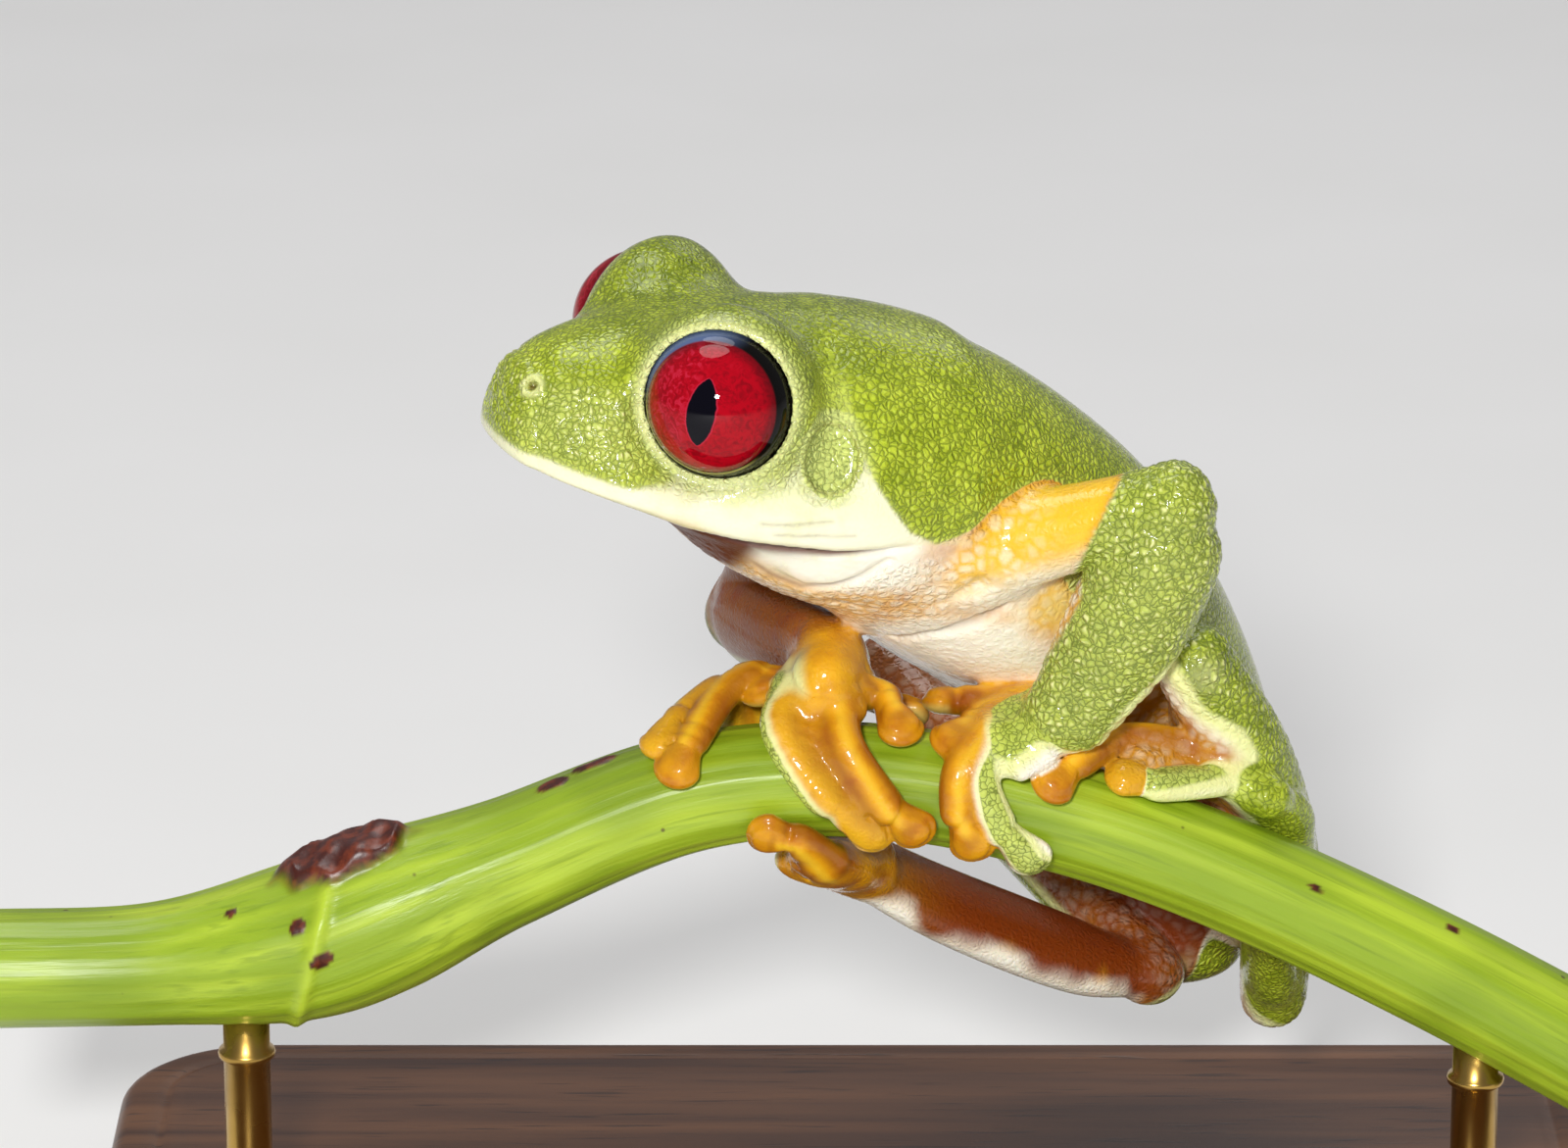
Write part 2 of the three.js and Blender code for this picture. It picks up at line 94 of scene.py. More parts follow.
LEG = {
    "left": {"hip": [21.4, 14.5, -11.0], "knee": [17.4, 0.3, 6.7], "heel": [22.9, 12.5, -17.2],
             "foot": [21.8, 5.2, -7.4]},
    "right": {"hip": [15.2, 21.0, -10.4], "knee": [1.5, 26.5, -2.5], "heel": [16.3, 10.5, -15.2],
              "foot": [-1.4, 3.6, -5.2]},
}
LIMB_SECTIONS = {
    "upper_arm": [[0, 2.7, 2.7], [0.35, 2.4, 2.4], [0.7, 2.1, 2.1], [1, 2.1, 2.1]],
    "forearm": [[0.06, 1.8, 1.8], [0.22, 3.1, 2.5], [0.6, 3.15, 2.4], [0.85, 2.7, 1.9], [1, 2.3, 1.6]],
    "shank": [[0, 2.0, 2.0], [0.3, 2.6, 2.4], [0.65, 2.4, 2.2], [1, 1.8, 1.7]],
    "thigh": [[0.06, 1.5, 1.5], [0.25, 2.4, 2.0], [0.65, 3.3, 2.8], [1, 3.8, 3.4]],
    "tarsus": [[0.06, 1.5, 1.4], [0.3, 2.5, 1.6], [0.7, 2.6, 1.5], [1, 2.2, 1.3]],
}
# How far the middle of a length is bent off the straight line between its joints.
BOWS = {"forearm_left": (0.7, 0, 0.2), "shank_left": (2.0, -0.8, 0.2), "tarsus_right": (0, 0, -0.9)}
PALM = {"widths": (2.0, 2.6, 2.5), "thicknesses": (1.6, 1.6, 1.2)}
# Hands and feet in stem coordinates: [x, degrees round the stem from its top towards -Y, lift off it].
# Digits are numbered as they are listed, from 1.
PAWS = {
    "hand_left": {
        "palm": [[9.1, 11, 3.0], [7.9, 14, 1.9], [6.4, 30, 1.3]],
        "digits": [
            [[7.0, -10, 2.0], [4.6, -14, 1.8], [3.0, -16, 1.5]],
            [[7.7, -6, 2.0], [5.4, 4, 1.3], [3.8, 38, 0.85]],
            [[5.9, 25, 1.3], [4.7, 55, 1.1], [4.9, 84, 0.95], [6.4, 119, 0.85]],
            [[6.1, 31, 1.3], [5.7, 59, 1.1], [7.1, 91, 0.95], [9.6, 117, 0.85]],
        ],
    },
    "hand_right": {
        "palm": [[-1.6, 0, 3.3], [-2.2, -2, 2.1], [-2.3, 16, 1.4]],
        "digits": [
            [[-1.2, -20, 1.9], [0.8, -34, 1.4], [2.6, -44, 0.9]],
            [[-1.0, -8, 2.1], [0.7, -2, 1.6], [1.8, 33, 0.85]],
            [[-1.5, 0, 1.9], [-1.0, 47, 1.3], [1.1, 88, 1.0], [3.3, 113, 0.85]],
            [[-2.9, -12, 2.3], [-4.2, 30, 1.3], [-2.5, 78, 1.0], [1.1, 122, 0.85]],
        ],
    },
    "foot_left": {
        "palm": [[21.8, -92, 1.4], [20.6, -50, 1.4], [18.7, -15, 1.7]],
        "digits": [
            [[18.8, -20, 1.6], [16.6, -36, 1.1], [14.2, -36, 0.9]],
            [[17.6, -6, 1.8], [14.5, 22, 1.1], [12.2, 24, 0.85]],
            [[17.5, -14, 2.4], [14.8, -12, 2.5], [12.2, -10, 1.8], [10.3, 25, 1.1], [9.0, 55, 0.85]],
            [[19.6, 0, 1.8], [18.0, -10, 2.1], [15.4, -10, 1.7], [12.8, 0, 1.2]],
        ],
    },
    "foot_right": {
        "palm": [[0.4, -150, 3.2], [-1.4, -168, 2.0], [-2.6, 172, 1.5]],
        "digits": [
            [[-1.5, 170, 1.5], [-2.6, 162, 1.4], [-3.6, 159, 1.2]],
            [[-1.8, 150, 1.4], [-3.4, 122, 1.1], [-5.8, 112, 0.85]],
            [[-2.4, -150, 1.3], [-3.0, -110, 1.3], [-3.9, -60, 1.6], [-4.4, -20, 2.2], [-5.3, -6, 1.5]],
            [[-2.8, -150, 1.3], [-4.6, -110, 1.3], [-5.2, -60, 1.8], [-5.2, -22, 2.6], [-6.8, -8, 1.7],
             [-8.3, 30, 1.0], [-9.5, 58, 0.85]],
            [[-3.2, -150, 1.3], [-5.8, -112, 1.3], [-6.6, -60, 1.6], [-6.8, -22, 2.0], [-8.5, -6, 1.1],
             [-9.9, 33, 0.85]],
        ],
    },
}
DIGIT = {"root": 1.2, "shaft": 1.02, "neck": 0.86, "disc": 1.32, "thickness": 0.8, "tip": 0.6}
# Shares of a digit's length at which it is creased over its knuckles, and where its disc is widest.
KNUCKLES = (0.44, 0.5, 0.68, 0.73)
DISC_MIDDLE = 0.95

FLESH_NODES = ["trunk", "head", *(f"{length}_{side}" for side, _ in SIDES for length in (
    "upper_arm", "forearm", "shank", "thigh", "tarsus", "hand", "foot"))]

VOXEL = 0.14          # millimetres
REACH = 2.24                                  # how far from the surface distances are kept, in mm
GRANULE_PITCH = 0.72                          # millimetres between the granules under the body
MARK_BLEND = 0.3                              # millimetres over which neighbours' markings blend
BAND = math.ceil(REACH / VOXEL)


# ------------------------------------------------------------------ small maths
def unit(vector):
    """The vector, or each row of vectors, at length 1."""
    vector = np.asarray(vector, float)
    return vector / np.maximum(np.linalg.norm(vector, axis=-1, keepdims=True), 1e-9)


def smoothstep(low, high, value):
    """0 below low, 1 above high, with a soft change between them."""
    t = np.clip((value - low) / (high - low), 0, 1)
    return t * t * (3 - 2 * t)


def bell(offset, width):
    """1 where the offset is 0, falling away on both sides over about the width."""
    return np.exp(-(offset / width) ** 2)


def square_from(at, point):
    """Squared distance from a point; at holds x, y and z arrays that broadcast."""
    return sum((x - p) ** 2 for x, p in zip(at, point))


def along_axis(at, origin, axis):
    """How far places lie along an axis from its origin."""
    return sum((x - o) * a for x, o, a in zip(at, origin, axis))


def square_from_segment(at, start, end):
    """Squared distance from a straight segment."""
    step = end - start
    t = np.clip(along_axis(at, start, step) / (step @ step), 0, 1)
    return sum((x - s - t * d) ** 2 for x, s, d in zip(at, start, step))


def catmull(points, t):
    """Uniform Catmull-Rom curve through points, at parameters t from 0 to 1."""
    points = np.asarray(points, float)
    last = len(points) - 1
    padded = np.vstack([2 * points[0] - points[1], points, 2 * points[-1] - points[-2]])
    place = np.clip(t, 0, 1) * last
    index = np.minimum(place.astype(int), last - 1)
    f = (place - index)[:, None]
    p0, p1, p2, p3 = (padded[index + k] for k in range(4))
    m1 = (p2 - p0) / 2
    m2 = (p3 - p1) / 2
    return (2 * p1 - 2 * p2 + m1 + m2) * f ** 3 + (3 * p2 - 3 * p1 - 2 * m1 - m2) * f ** 2 + m1 * f + p1


def line_side(points, line):
    """Signed distance of 2-D points from an open line; positive on the left of its direction."""
    points = np.asarray(points, float)
    best = np.full(len(points), 1e9)
    sign = np.ones(len(points))
    for a, b in zip(np.asarray(line[:-1], float), np.asarray(line[1:], float)):
        d = b - a
        t = np.clip(((points - a) @ d) / (d @ d), 0, 1)
        off = points - (a + t[:, None] * d)
        distance = np.hypot(off[:, 0], off[:, 1])
        closer = distance < best
        cross = d[0] * (points[:, 1] - a[1]) - d[1] * (points[:, 0] - a[0])
        best = np.where(closer, distance, best)
        sign = np.where(closer, np.where(cross >= 0, 1, -1), sign)
    return best * sign


# ------------------------------------------------------------------ lofts
def tube_faces(rows, sides):
    """Quads and end triangles of a closed tube: its rings of points in order, then its two poles."""
    k = np.arange(sides)
    after = (k + 1) % sides
    row = (np.arange(rows - 1) * sides)[:, None]
    quads = np.stack([row + k, row + k + sides, row + after + sides, row + after], -1).reshape(-1, 4)
    end = (rows - 1) * sides
    first = np.stack([np.full(sides, rows * sides), k, after], -1)
    last = np.stack([np.full(sides, rows * sides + 1), end + after, end + k], -1)
    return quads, np.vstack([first, last])


class Loft:
    """A closed tube through stations, with the local coordinates that markings are worked out in."""

    def __init__(self, stations, rows=40, sides=48, roundness=1.0, taper=0.0, domes=(0.8, 0.8), caps=8):
        self.at, self.up = (np.array([station[k] for station in stations], float) for k in (0, 1))
        # A size is [half width, height above, height below]; without the last, the two heights are equal.
        self.sizes = np.array([[*size, size[1]][:3] for _, _, size in stations], float)
        # A step is a place along the tube, the ring's scale there, and how far a dome carries it out.
        rise, fall = np.linspace(math.pi / 2, 0, caps)[1:-1], np.linspace(0, math.pi / 2, caps)[1:-1]
        steps = [(0.0, math.cos(a), -domes[0] * math.sin(a)) for a in rise]
        steps += [(t, 1.0, 0.0) for t in np.linspace(0, 1, rows + 1)]
        steps += [(1.0, math.cos(a), domes[1] * math.sin(a)) for a in fall]
        t, scale, advance = (np.array(v) for v in zip(*steps))
        centre, tangent, side, up, size = self.sections(t)
        centre = centre + tangent * (advance * size[:, :2].min(1))[:, None]
        angle = np.linspace(0, 2 * math.pi, sides, endpoint=False)
        c, s = (np.sign(v) * np.abs(v) ** roundness for v in (np.cos(angle), np.sin(angle)))
        lateral = (size[:, :1] * c) * (1 - taper * np.maximum(s, 0))
        height = np.where(s > 0, size[:, 1:2] * s, size[:, 2:3] * s)
        ring = centre[:, None] + side[:, None] * (lateral * scale[:, None])[..., None]
        ring = ring + up[:, None] * (height * scale[:, None])[..., None]
        self.points = np.vstack([ring.reshape(-1, 3), self.pole(0, -domes[0]), self.pole(1, domes[1])])
        self.quads, self.tris = tube_faces(len(steps), sides)

    def sections(self, t):
        """Centres, the directions along, sideways and up, and sizes at places t from 0 to 1."""
        centre = catmull(self.at, t)
        ahead, behind = np.minimum(t + 1e-3, 1), np.maximum(t - 1e-3, 0)
        tangent = unit(catmull(self.at, ahead) - catmull(self.at, behind))
        side = unit(np.cross(tangent, catmull(self.up, t)))
        up = unit(np.cross(side, tangent))
        return centre, tangent, side, up, catmull(self.sizes, t)

    def section(self, t):
        """The same at one place."""
        return [values[0] for values in self.sections(np.array([float(t)]))]

    def pole(self, t, direction):
        """The tip of an end's dome."""
        centre, tangent, _, _, size = self.section(t)
        return centre + tangent * direction * min(size[0], size[1])

    def local(self, points, samples=90):
        """For each point: place along the tube from 0 to 1, and sideways and upwards offsets in mm."""
        t = np.linspace(0, 1, samples)
        centre, _, side, up, _ = self.sections(t)
        nearest = ((points ** 2).sum(1)[:, None] - 2 * points @ centre.T + (centre ** 2).sum(1)).argmin(1)
        off = points - centre[nearest]
        return t[nearest], (off * side[nearest]).sum(1), (off * up[nearest]).sum(1)


def joint_line(start, end, sections, up, bow=(0, 0, 0)):
    """Stations of a limb length between two joints."""
    start, end, bow = (np.asarray(v, float) for v in (start, end, bow))
    return [(start + (end - start) * t + bow * 4 * t * (1 - t), up, [width, thick])
            for t, width, thick in sections]


STEM_AXIS = np.array([[x, 0, z] for x, z, _ in STEM], float)
STEM_PARAMETERS = np.linspace(0, 1, 4001)
STEM_CENTRES = catmull(STEM_AXIS, STEM_PARAMETERS)
STEM_RADII = catmull([[r, 0, 0] for _, _, r in STEM], STEM_PARAMETERS)[:, 0]


def stem_at(x):
    """The height of the stem's axis and the stem's radius at x."""
    xs, _, heights = STEM_CENTRES.T
    return np.interp(x, xs, heights), np.interp(x, xs, STEM_RADII)


def stem_point(place):
    """The point and the outward direction for [x, degrees round the stem, lift]."""
    x, degrees, lift = place
    i = int(np.clip(np.searchsorted(STEM_CENTRES[:, 0], x), 1, len(STEM_CENTRES) - 2))
    along = unit(STEM_CENTRES[i + 1] - STEM_CENTRES[i - 1])
    top = np.array([-along[2], 0, along[0]])
    angle = math.radians(degrees)
    out = top * math.cos(angle) + np.array([0, -math.sin(angle), 0])
    return STEM_CENTRES[i] + out * (STEM_RADII[i] + lift), out


def stem_station(place, width, thickness):
    """A loft station at a place on the stem, with its upper side facing away from the stem."""
    at, out = stem_point(place)
    return at, out, [width, thickness]


def digit_stations(path):
    """A finger or toe: a shaft that narrows to a neck and then swells to its adhesive disc."""
    last = len(path) - 1
    disc_reach = 2.3                          # from the neck to the disc's middle, in mm
    ends = np.array(path[-2:], float)
    span = np.linalg.norm(stem_point(ends[1])[0] - stem_point(ends[0])[0])
    path = [*path[:-1], ends[1] + (ends[0] - ends[1]) * DIGIT["tip"] / span]
    stations = []
    for i, place in enumerate(path):
        width = DIGIT["root"] if i == 0 else DIGIT["shaft"]
        width = DIGIT["disc"] if i == last else width
        stations.append(stem_station(place, width, DIGIT["thickness"] * (1.15 - 0.2 * i / last)))
    length = np.linalg.norm(stations[-1][0] - stations[-2][0])
    share = max(0.35, 1 - disc_reach / length)
    neck = np.array(path[-2]) * (1 - share) + np.array(path[-1]) * share
    stations.insert(last, stem_station(neck, DIGIT["neck"], DIGIT["thickness"]))
    return stations


# ------------------------------------------------------------------ head frame
def head_axes():
    """Directions along the nose, to the frog's left, and up, in the stem's frame."""
    yaw, pitch = (math.radians(HEAD[k]) for k in ("yaw", "pitch"))
    nose = Vector((-math.cos(yaw) * math.cos(pitch), -math.sin(yaw) * math.cos(pitch), math.sin(pitch)))
    left = Vector((math.sin(yaw), -math.cos(yaw), 0))
    left.rotate(Matrix.Rotation(-math.radians(HEAD["roll"]), 3, nose))
    return np.array([nose, left, nose.cross(left)])


HEAD_AXES = head_axes()
HEAD_AT = np.array(HEAD["at"])


def head_point(along, left, up):
    return HEAD_AT + np.array([along, left, up]) @ HEAD_AXES


def to_head(points):
    """Stem frame to head frame: along the nose, to the left, and up."""
    return (points - HEAD_AT) @ HEAD_AXES.T


def eye_frame(side, forward=None):
    """Centre and axes (across, slit, outwards) of one eye; side is 1 for left and -1 for right."""
    forward = math.radians(EYE["forward"] if forward is None else forward)
    upward = math.tan(math.radians(EYE["upward"]))
    out = unit(np.array([math.sin(forward), side * math.cos(forward), upward]) @ HEAD_AXES)
    across = unit(np.cross(HEAD_AXES[2], out))
    return head_point(0, side * EYE["spacing"] / 2, 0), np.array([across, np.cross(out, across), out])


# ------------------------------------------------------------------ growing the skin
def sample(field, start, points, outside):
    """A voxel field's values at points in mm; start is the field's first voxel."""
    place = points / VOXEL - start
    inside = ((place >= 0) & (place < np.array(field.shape) - 1.001)).all(1)
    value = np.full(len(points), float(outside))
    base = place[inside].astype(int)
    part = place[inside] - base
    total = np.zeros(len(base))
    for corner in range(8):
        bit = np.array([corner & 1, corner >> 1 & 1, corner >> 2 & 1])
        i, j, k = (base + bit).T
        total += np.prod(np.where(bit, part, 1 - part), 1) * field[i, j, k]
    value[inside] = total
    return value


class Flesh:
    """The body's signed distance field, in which lengths are joined with soft fillets."""

    def __init__(self, low, high):
        self.start = np.floor(np.array(low) / VOXEL).astype(int)
        self.shape = np.ceil(np.array(high) / VOXEL).astype(int) - self.start
        self.limit = BAND * VOXEL
        self.field = np.full(self.shape, self.limit, np.float32)
        self.parts = {}

    def window(self, low, high):
        """The voxels between two corners in mm, as far as they lie in the field."""
        low = np.maximum(np.floor(np.asarray(low) / VOXEL).astype(int) - self.start, 0)
        high = np.minimum(np.ceil(np.asarray(high) / VOXEL).astype(int) - self.start, self.shape)
        return low, high

    def view(self, low, high):
        """The field in a window, and its voxels' x, y and z in mm as arrays that broadcast."""
        axes = [(np.arange(a, b) + s).astype(np.float32) * VOXEL for a, b, s in zip(low, high, self.start)]
        at = (axes[0][:, None, None], axes[1][None, :, None], axes[2][None, None, :])
        return self.field[tuple(slice(a, b) for a, b in zip(low, high))], at

    def add(self, name, part, joints=(), crease=0.25):
        """Joins a loft on. joints are (point, reach, fillet): near the point the join is that soft."""
        margin = self.limit + VOXEL
        low, high = self.window(part.points.min(0) - margin, part.points.max(0) + margin)
        transform = openvdb.createLinearTransform(voxelSize=VOXEL)
        grid = openvdb.FloatGrid.createLevelSetFromPolygons(
            part.points.astype(np.float32), triangles=part.tris.astype(np.uint32),
            quads=part.quads.astype(np.uint32), transform=transform, halfWidth=BAND)
        own = np.empty(tuple(high - low), np.float32)
        grid.copyToArray(own, ijk=tuple(int(v) for v in low + self.start))
        self.parts[name] = (own, low + self.start, part)
        self.merge(own, low, high, joints, crease)

    def add_shape(self, name, tool, centre, reach, fillet):
        """Joins on a shape given as a signed distance; it is painted as the part called name."""
        low, high = self.window(centre - reach, centre + reach)
        own = tool(self.view(low, high)[1]).astype(np.float32)
        self.parts[name] = (own, low + self.start, None)
        self.merge(own, low, high, [], fillet)

    def merge(self, own, low, high, joints, crease):
        """The union with own, rounded off where the two surfaces are less than a fillet apart."""
        body, at = self.view(low, high)
        fillet = np.full(own.shape, crease, np.float32)
        for point, reach, size in joints:
            fillet += (size - crease) * np.exp(-square_from(at, point) / reach ** 2)
        overlap = np.maximum(fillet - np.abs(body - own), 0) / fillet
        body[:] = np.minimum(body, own) - overlap ** 2 * fillet * 0.25

    def carve(self, tool, low, high, blend=0.2):
        """Takes a shape away; tool gives its signed distance at places."""
        body, at = self.view(*self.window(low, high))
        cut = -tool(at).astype(np.float32)
        overlap = np.maximum(blend - np.abs(body - cut), 0) / blend
        body[:] = np.maximum(body, cut) + overlap ** 2 * blend * 0.25

    def offset(self, change, low, high):
        """Moves the surface inwards by change mm."""
        body, at = self.view(*self.window(low, high))
        body += change(at).astype(np.float32)

    def press(self, line, width, depth):
        """Presses a crease along a line of points; a negative depth raises a ridge."""
        line = np.asarray(line, float)

        def change(at):
            nearest = np.float32(1e9)
            for start, end in zip(line[:-1], line[1:]):
                nearest = np.minimum(nearest, square_from_segment(at, start, end))
            return depth * np.exp(-nearest / width ** 2)

        self.offset(change, line.min(0) - 3 * width, line.max(0) + 3 * width)

    def settle(self, point):
        """The nearest point on the surface, and the outward direction there."""
        step = np.eye(3) * 0.3
        for _ in range(6):
            around = np.vstack([point, point + step, point - step])
            value = sample(self.field, self.start, around, self.limit)
            out = unit(value[1:4] - value[4:7])
            point = point - out * value[0]
        return point, out

    def mesh(self):
        """The surface as points in mm and four-cornered faces."""
        grid = openvdb.FloatGrid()
        grid.background = self.limit
        grid.transform = openvdb.createLinearTransform(voxelSize=VOXEL)
        grid.copyFromArray(self.field, ijk=tuple(int(v) for v in self.start))
        points, quads = grid.convertToQuads(isovalue=0)
        return points.astype(float), quads.astype(np.int64)

    def distances(self, points):
        """Each part's signed distance at points, as a dictionary of arrays."""
        return {name: sample(own, start, points, self.limit)
                for name, (own, start, _) in self.parts.items()}


def stem_distance(x, y, z):
    """Roughly the signed distance from the perch stem's surface, in mm."""
    xs = np.linspace(STEM_CENTRES[0, 0], STEM_CENTRES[-1, 0], 400)
    heights, radii = stem_at(xs)
    slopes = np.gradient(heights, xs)
    height = np.interp(x, xs, heights)
    lean = 1 / np.sqrt(1 + np.interp(x, xs, slopes) ** 2)
    return np.sqrt(y ** 2 + ((z - height) * lean) ** 2) - np.interp(x, xs, radii)


def grow_flesh():
    """Joins every length of the body into one distance field."""
    flesh = Flesh([-24, -14, -26], [32, 32, 32])       # corners of the room for the body, in mm
    stations = [(head_point(along, 0, LIP_LEVEL), HEAD_AXES[2],
                 [width, top - LIP_LEVEL, LIP_LEVEL - bottom])
                for along, width, top, bottom in HEAD_SECTIONS]
    flesh.add("head", Loft(stations, 60, 72, 0.85, 0.22, (0.2, 0.3), 12), crease=0.5)
    flesh.add("trunk", Loft(TRUNK, 90, 90, 0.94, 0, (0.5, 0.6), 14), [((-3, 2, 17), 12, 4.0)], 1.5)
    for side, sign in SIDES:
        # Each length: its two ends, its upward direction, and its joints as (point, reach, fillet).
        shoulder, elbow, wrist = (ARM[side][k] for k in ("shoulder", "elbow", "wrist"))
        hip, knee, heel, foot = (LEG[side][k] for k in ("hip", "knee", "heel", "foot"))
        for kind, start, end, up, joints in (
                ("upper_arm", shoulder, elbow, [0, 0, 1], [(shoulder, 4, 2.2)]),
                ("forearm", elbow, wrist, [0, -sign, 0.2], [(elbow, 3.2, 1.6)]),
                ("shank", knee, heel, [1, -0.3 * sign, 0], []),
                ("thigh", knee, hip, [1, 0, 0.3], [(knee, 3.0, 1.8), (hip, 5.0, 2.5)]),
                ("tarsus", heel, foot, [1, 0, 0.2], [(heel, 2.6, 1.5)])):
            name = f"{kind}_{side}"
            line = joint_line(start, end, LIMB_SECTIONS[kind], up, BOWS.get(name, (0, 0, 0)))
            flesh.add(name, Loft(line), joints)
    for name, paw in PAWS.items():
        side = name.split("_")[1]
        joint = ARM[side]["wrist"] if "hand" in name else LEG[side]["foot"]
        sections = zip(paw["palm"], PALM["widths"], PALM["thicknesses"])
        palm = Loft([stem_station(*section) for section in sections], 24, 36, domes=(0.7, 0.7))
        flesh.add(f"{name}_palm", palm, [(joint, 3.5, 2.0), (palm.at[0], 3.0, 1.6)])
        for number, path in enumerate(paw["digits"], 1):
            digit = Loft(digit_stations(path), 40, 32, domes=(0.8, 1.5))
            flesh.add(f"{name}_digit_{number}", digit, [(digit.at[0], 2.4, 1.5)], 0.15)
    return flesh


def eye_offsets(at, centre, out):
    """Distances from an eye's centre, along its axis, and around the axis."""
    away = np.sqrt(square_from(at, centre))
    along = along_axis(at, centre, out)
    return away, along, np.sqrt(np.maximum(away ** 2 - along ** 2, 0))


def shape_eyes(flesh, sizes):
    """Brow bumps over both eyes, opened for the eyeballs and finished with a rounded lid."""
    radius, brow_rise, clearance = EYE["radius"], 0.55, 0.05
    level = radius * math.cos(math.radians(EYE["opening"]))
    eyes = [(name, *eye_frame(side)) for name, side in SIDES]
    for name, centre, (_, _, out) in eyes:
        def brow(at):
            away, along, around = eye_offsets(at, centre, out)
            turn = np.degrees(np.arctan2(around, along))
            return away - radius - sizes.lid_thickness - brow_rise * smoothstep(62, 95, turn)

        flesh.add_shape(f"head_brow_{name}", brow, centre, 7.0, 1.5)
    for name, centre, (_, _, out) in eyes:
        def opening(at):
            _, along, around = eye_offsets(at, centre, out)
            height = along - level
            return np.maximum(-height, (around - (radius + 0.2) - 0.75 * height) * 0.8)

        def rim(at):
            _, along, around = eye_offsets(at, centre, out)
            return np.hypot(around - radius - 0.02, along - level + 0.04) - sizes.lid_rim

        flesh.carve(opening, centre - 8, centre + 8, 0.7)
        flesh.add_shape(f"head_lid_{name}", rim, centre, 6.0, 0.3)
        flesh.carve(lambda at: eye_offsets(at, centre, out)[0] - radius - clearance,
                    centre - 5, centre + 5, 0.1)


# The mouth line on the left side of the head, in the head's frame: [along the nose, up].
MOUTH_LINE = [(-10.6, -6.2), (-9.0, -6.6), (-6.4, -6.95), (-1.7, -6.95), (1.4, -6.7), (3.9, -6.1),
              (6.8, -5.5), (8.84, -5.1), (10.3, -4.9), (11.5, -5.0)]
# Creases on the left of the head, in the head's frame, each with its width and depth: the fold under
# the throat's lens, two cheek lines, the fold below the eye, and a ridge and groove on the snout.
HEAD_CREASES = [
    ([(-2.3, 7.2, -8.2), (-4.2, 6.9, -9.2), (-5.9, 6.9, -9.7), (-7.3, 7.6, -9.2), (-8.5, 8.3, -8.4),
      (-9.5, 8.8, -7.4), (-11.0, 7.7, -6.8)], 0.26, 0.34),
    ([(-2.2, 8.6, -5.7), (-3.9, 8.9, -5.6), (-5.9, 9.2, -5.2)], 0.16, 0.16),
    ([(-3.0, 8.6, -6.2), (-5.1, 9.0, -6.1), (-7.2, 9.1, -5.8)], 0.16, 0.14),
    ([(2.0, 6.4, -3.8), (0.6, 7.3, -4.3), (-1.2, 8.2, -4.1), (-3.2, 8.2, -3.3)], 0.18, 0.10),
    ([(4.8, 2.5, 1.3), (3.6, 3.0, 1.9), (2.6, 3.8, 2.6)], 0.22, -0.12),
    ([(4.9, 2.9, 0.9), (3.8, 3.5, 1.4), (3.0, 4.2, 1.9)], 0.2, 0.12),
]
# Creases of the body, in the stem's frame: throat, belly, armpit and wrist.
BODY_CREASES = [
    ([(-1.6, -3.7, 11.4), (1.5, -2.2, 11.1), (4.5, -3.0, 11.6), (6.0, -4.0, 12.2)], 0.55, 0.45),
    ([(1.8, 0.3, 8.1), (3.3, -1.0, 8.7), (5.7, -1.7, 9.4), (7.3, -1.9, 10.6)], 0.4, 0.35),
    ([(3.2, -4.3, 14.6), (4.0, -3.6, 13.2), (4.8, -3.0, 11.9)], 0.35, 0.15),
    ([(9.2, -3.1, 6.3), (10.2, -4.3, 5.6), (11.2, -4.4, 4.6)], 0.2, 0.14),
    ([(8.7, -2.2, 5.6), (9.9, -4.1, 5.0), (10.9, -3.9, 4.0)], 0.18, 0.12),
    ([(8.3, -0.9, 4.7), (9.5, -3.6, 4.5), (10.5, -3.0, 3.3)], 0.18, 0.14),
    ([(9.6, -3.6, 7.1), (10.8, -4.8, 6.4), (12.0, -4.8, 5.4)], 0.18, 0.08),
]
HAND_BACK = np.array([-2.1, -0.9, 5.8])
NOSTRIL = (8.9, 2.1, -1.2)
EARDRUM = {"at": (-5.6, 8.1, -2.2), "half_width": 1.5, "half_height": 1.85}


def below_mouth(along, up):
    """Depths below the mouth line, at places along the nose."""
    return np.interp(along, *np.transpose(MOUTH_LINE)) - up


def shape_mouth(flesh, sizes):
    """Sets the lower jaw back under the upper lip and presses in the mouth line."""
    def jaw(at):
        along, up = (along_axis(at, HEAD_AT, HEAD_AXES[k]) for k in (0, 2))
        below = below_mouth(along, up)
        fade = smoothstep(-11.2, -9.0, along)
        recess = 0.35 + 0.65 * smoothstep(-8.5, -3.0, along)
        back = smoothstep(-0.08, 0.14, below) * (1 - 0.8 * smoothstep(0.8, 3.2, below))
        return fade * (sizes.jaw_set_back * recess * back + sizes.lip_groove * bell(below - 0.1, 0.24))

    flesh.offset(jaw, [-24, -14, 6], [6, 14, 26])


def ear_place(points, centre, out):
    """Distance across the eardrum, 1 at its rim."""
    forward = unit(HEAD_AXES[0] - out * (HEAD_AXES[0] @ out))
    upward = unit(np.cross(out, forward)) * np.sign(HEAD_AXES[2] @ np.cross(out, forward))
    off = points - centre
    return np.hypot(off @ forward / EARDRUM["half_width"], off @ upward / EARDRUM["half_height"])


LANDMARKS = {}      # where the nostrils and the eardrums came to lie, for the markings round them


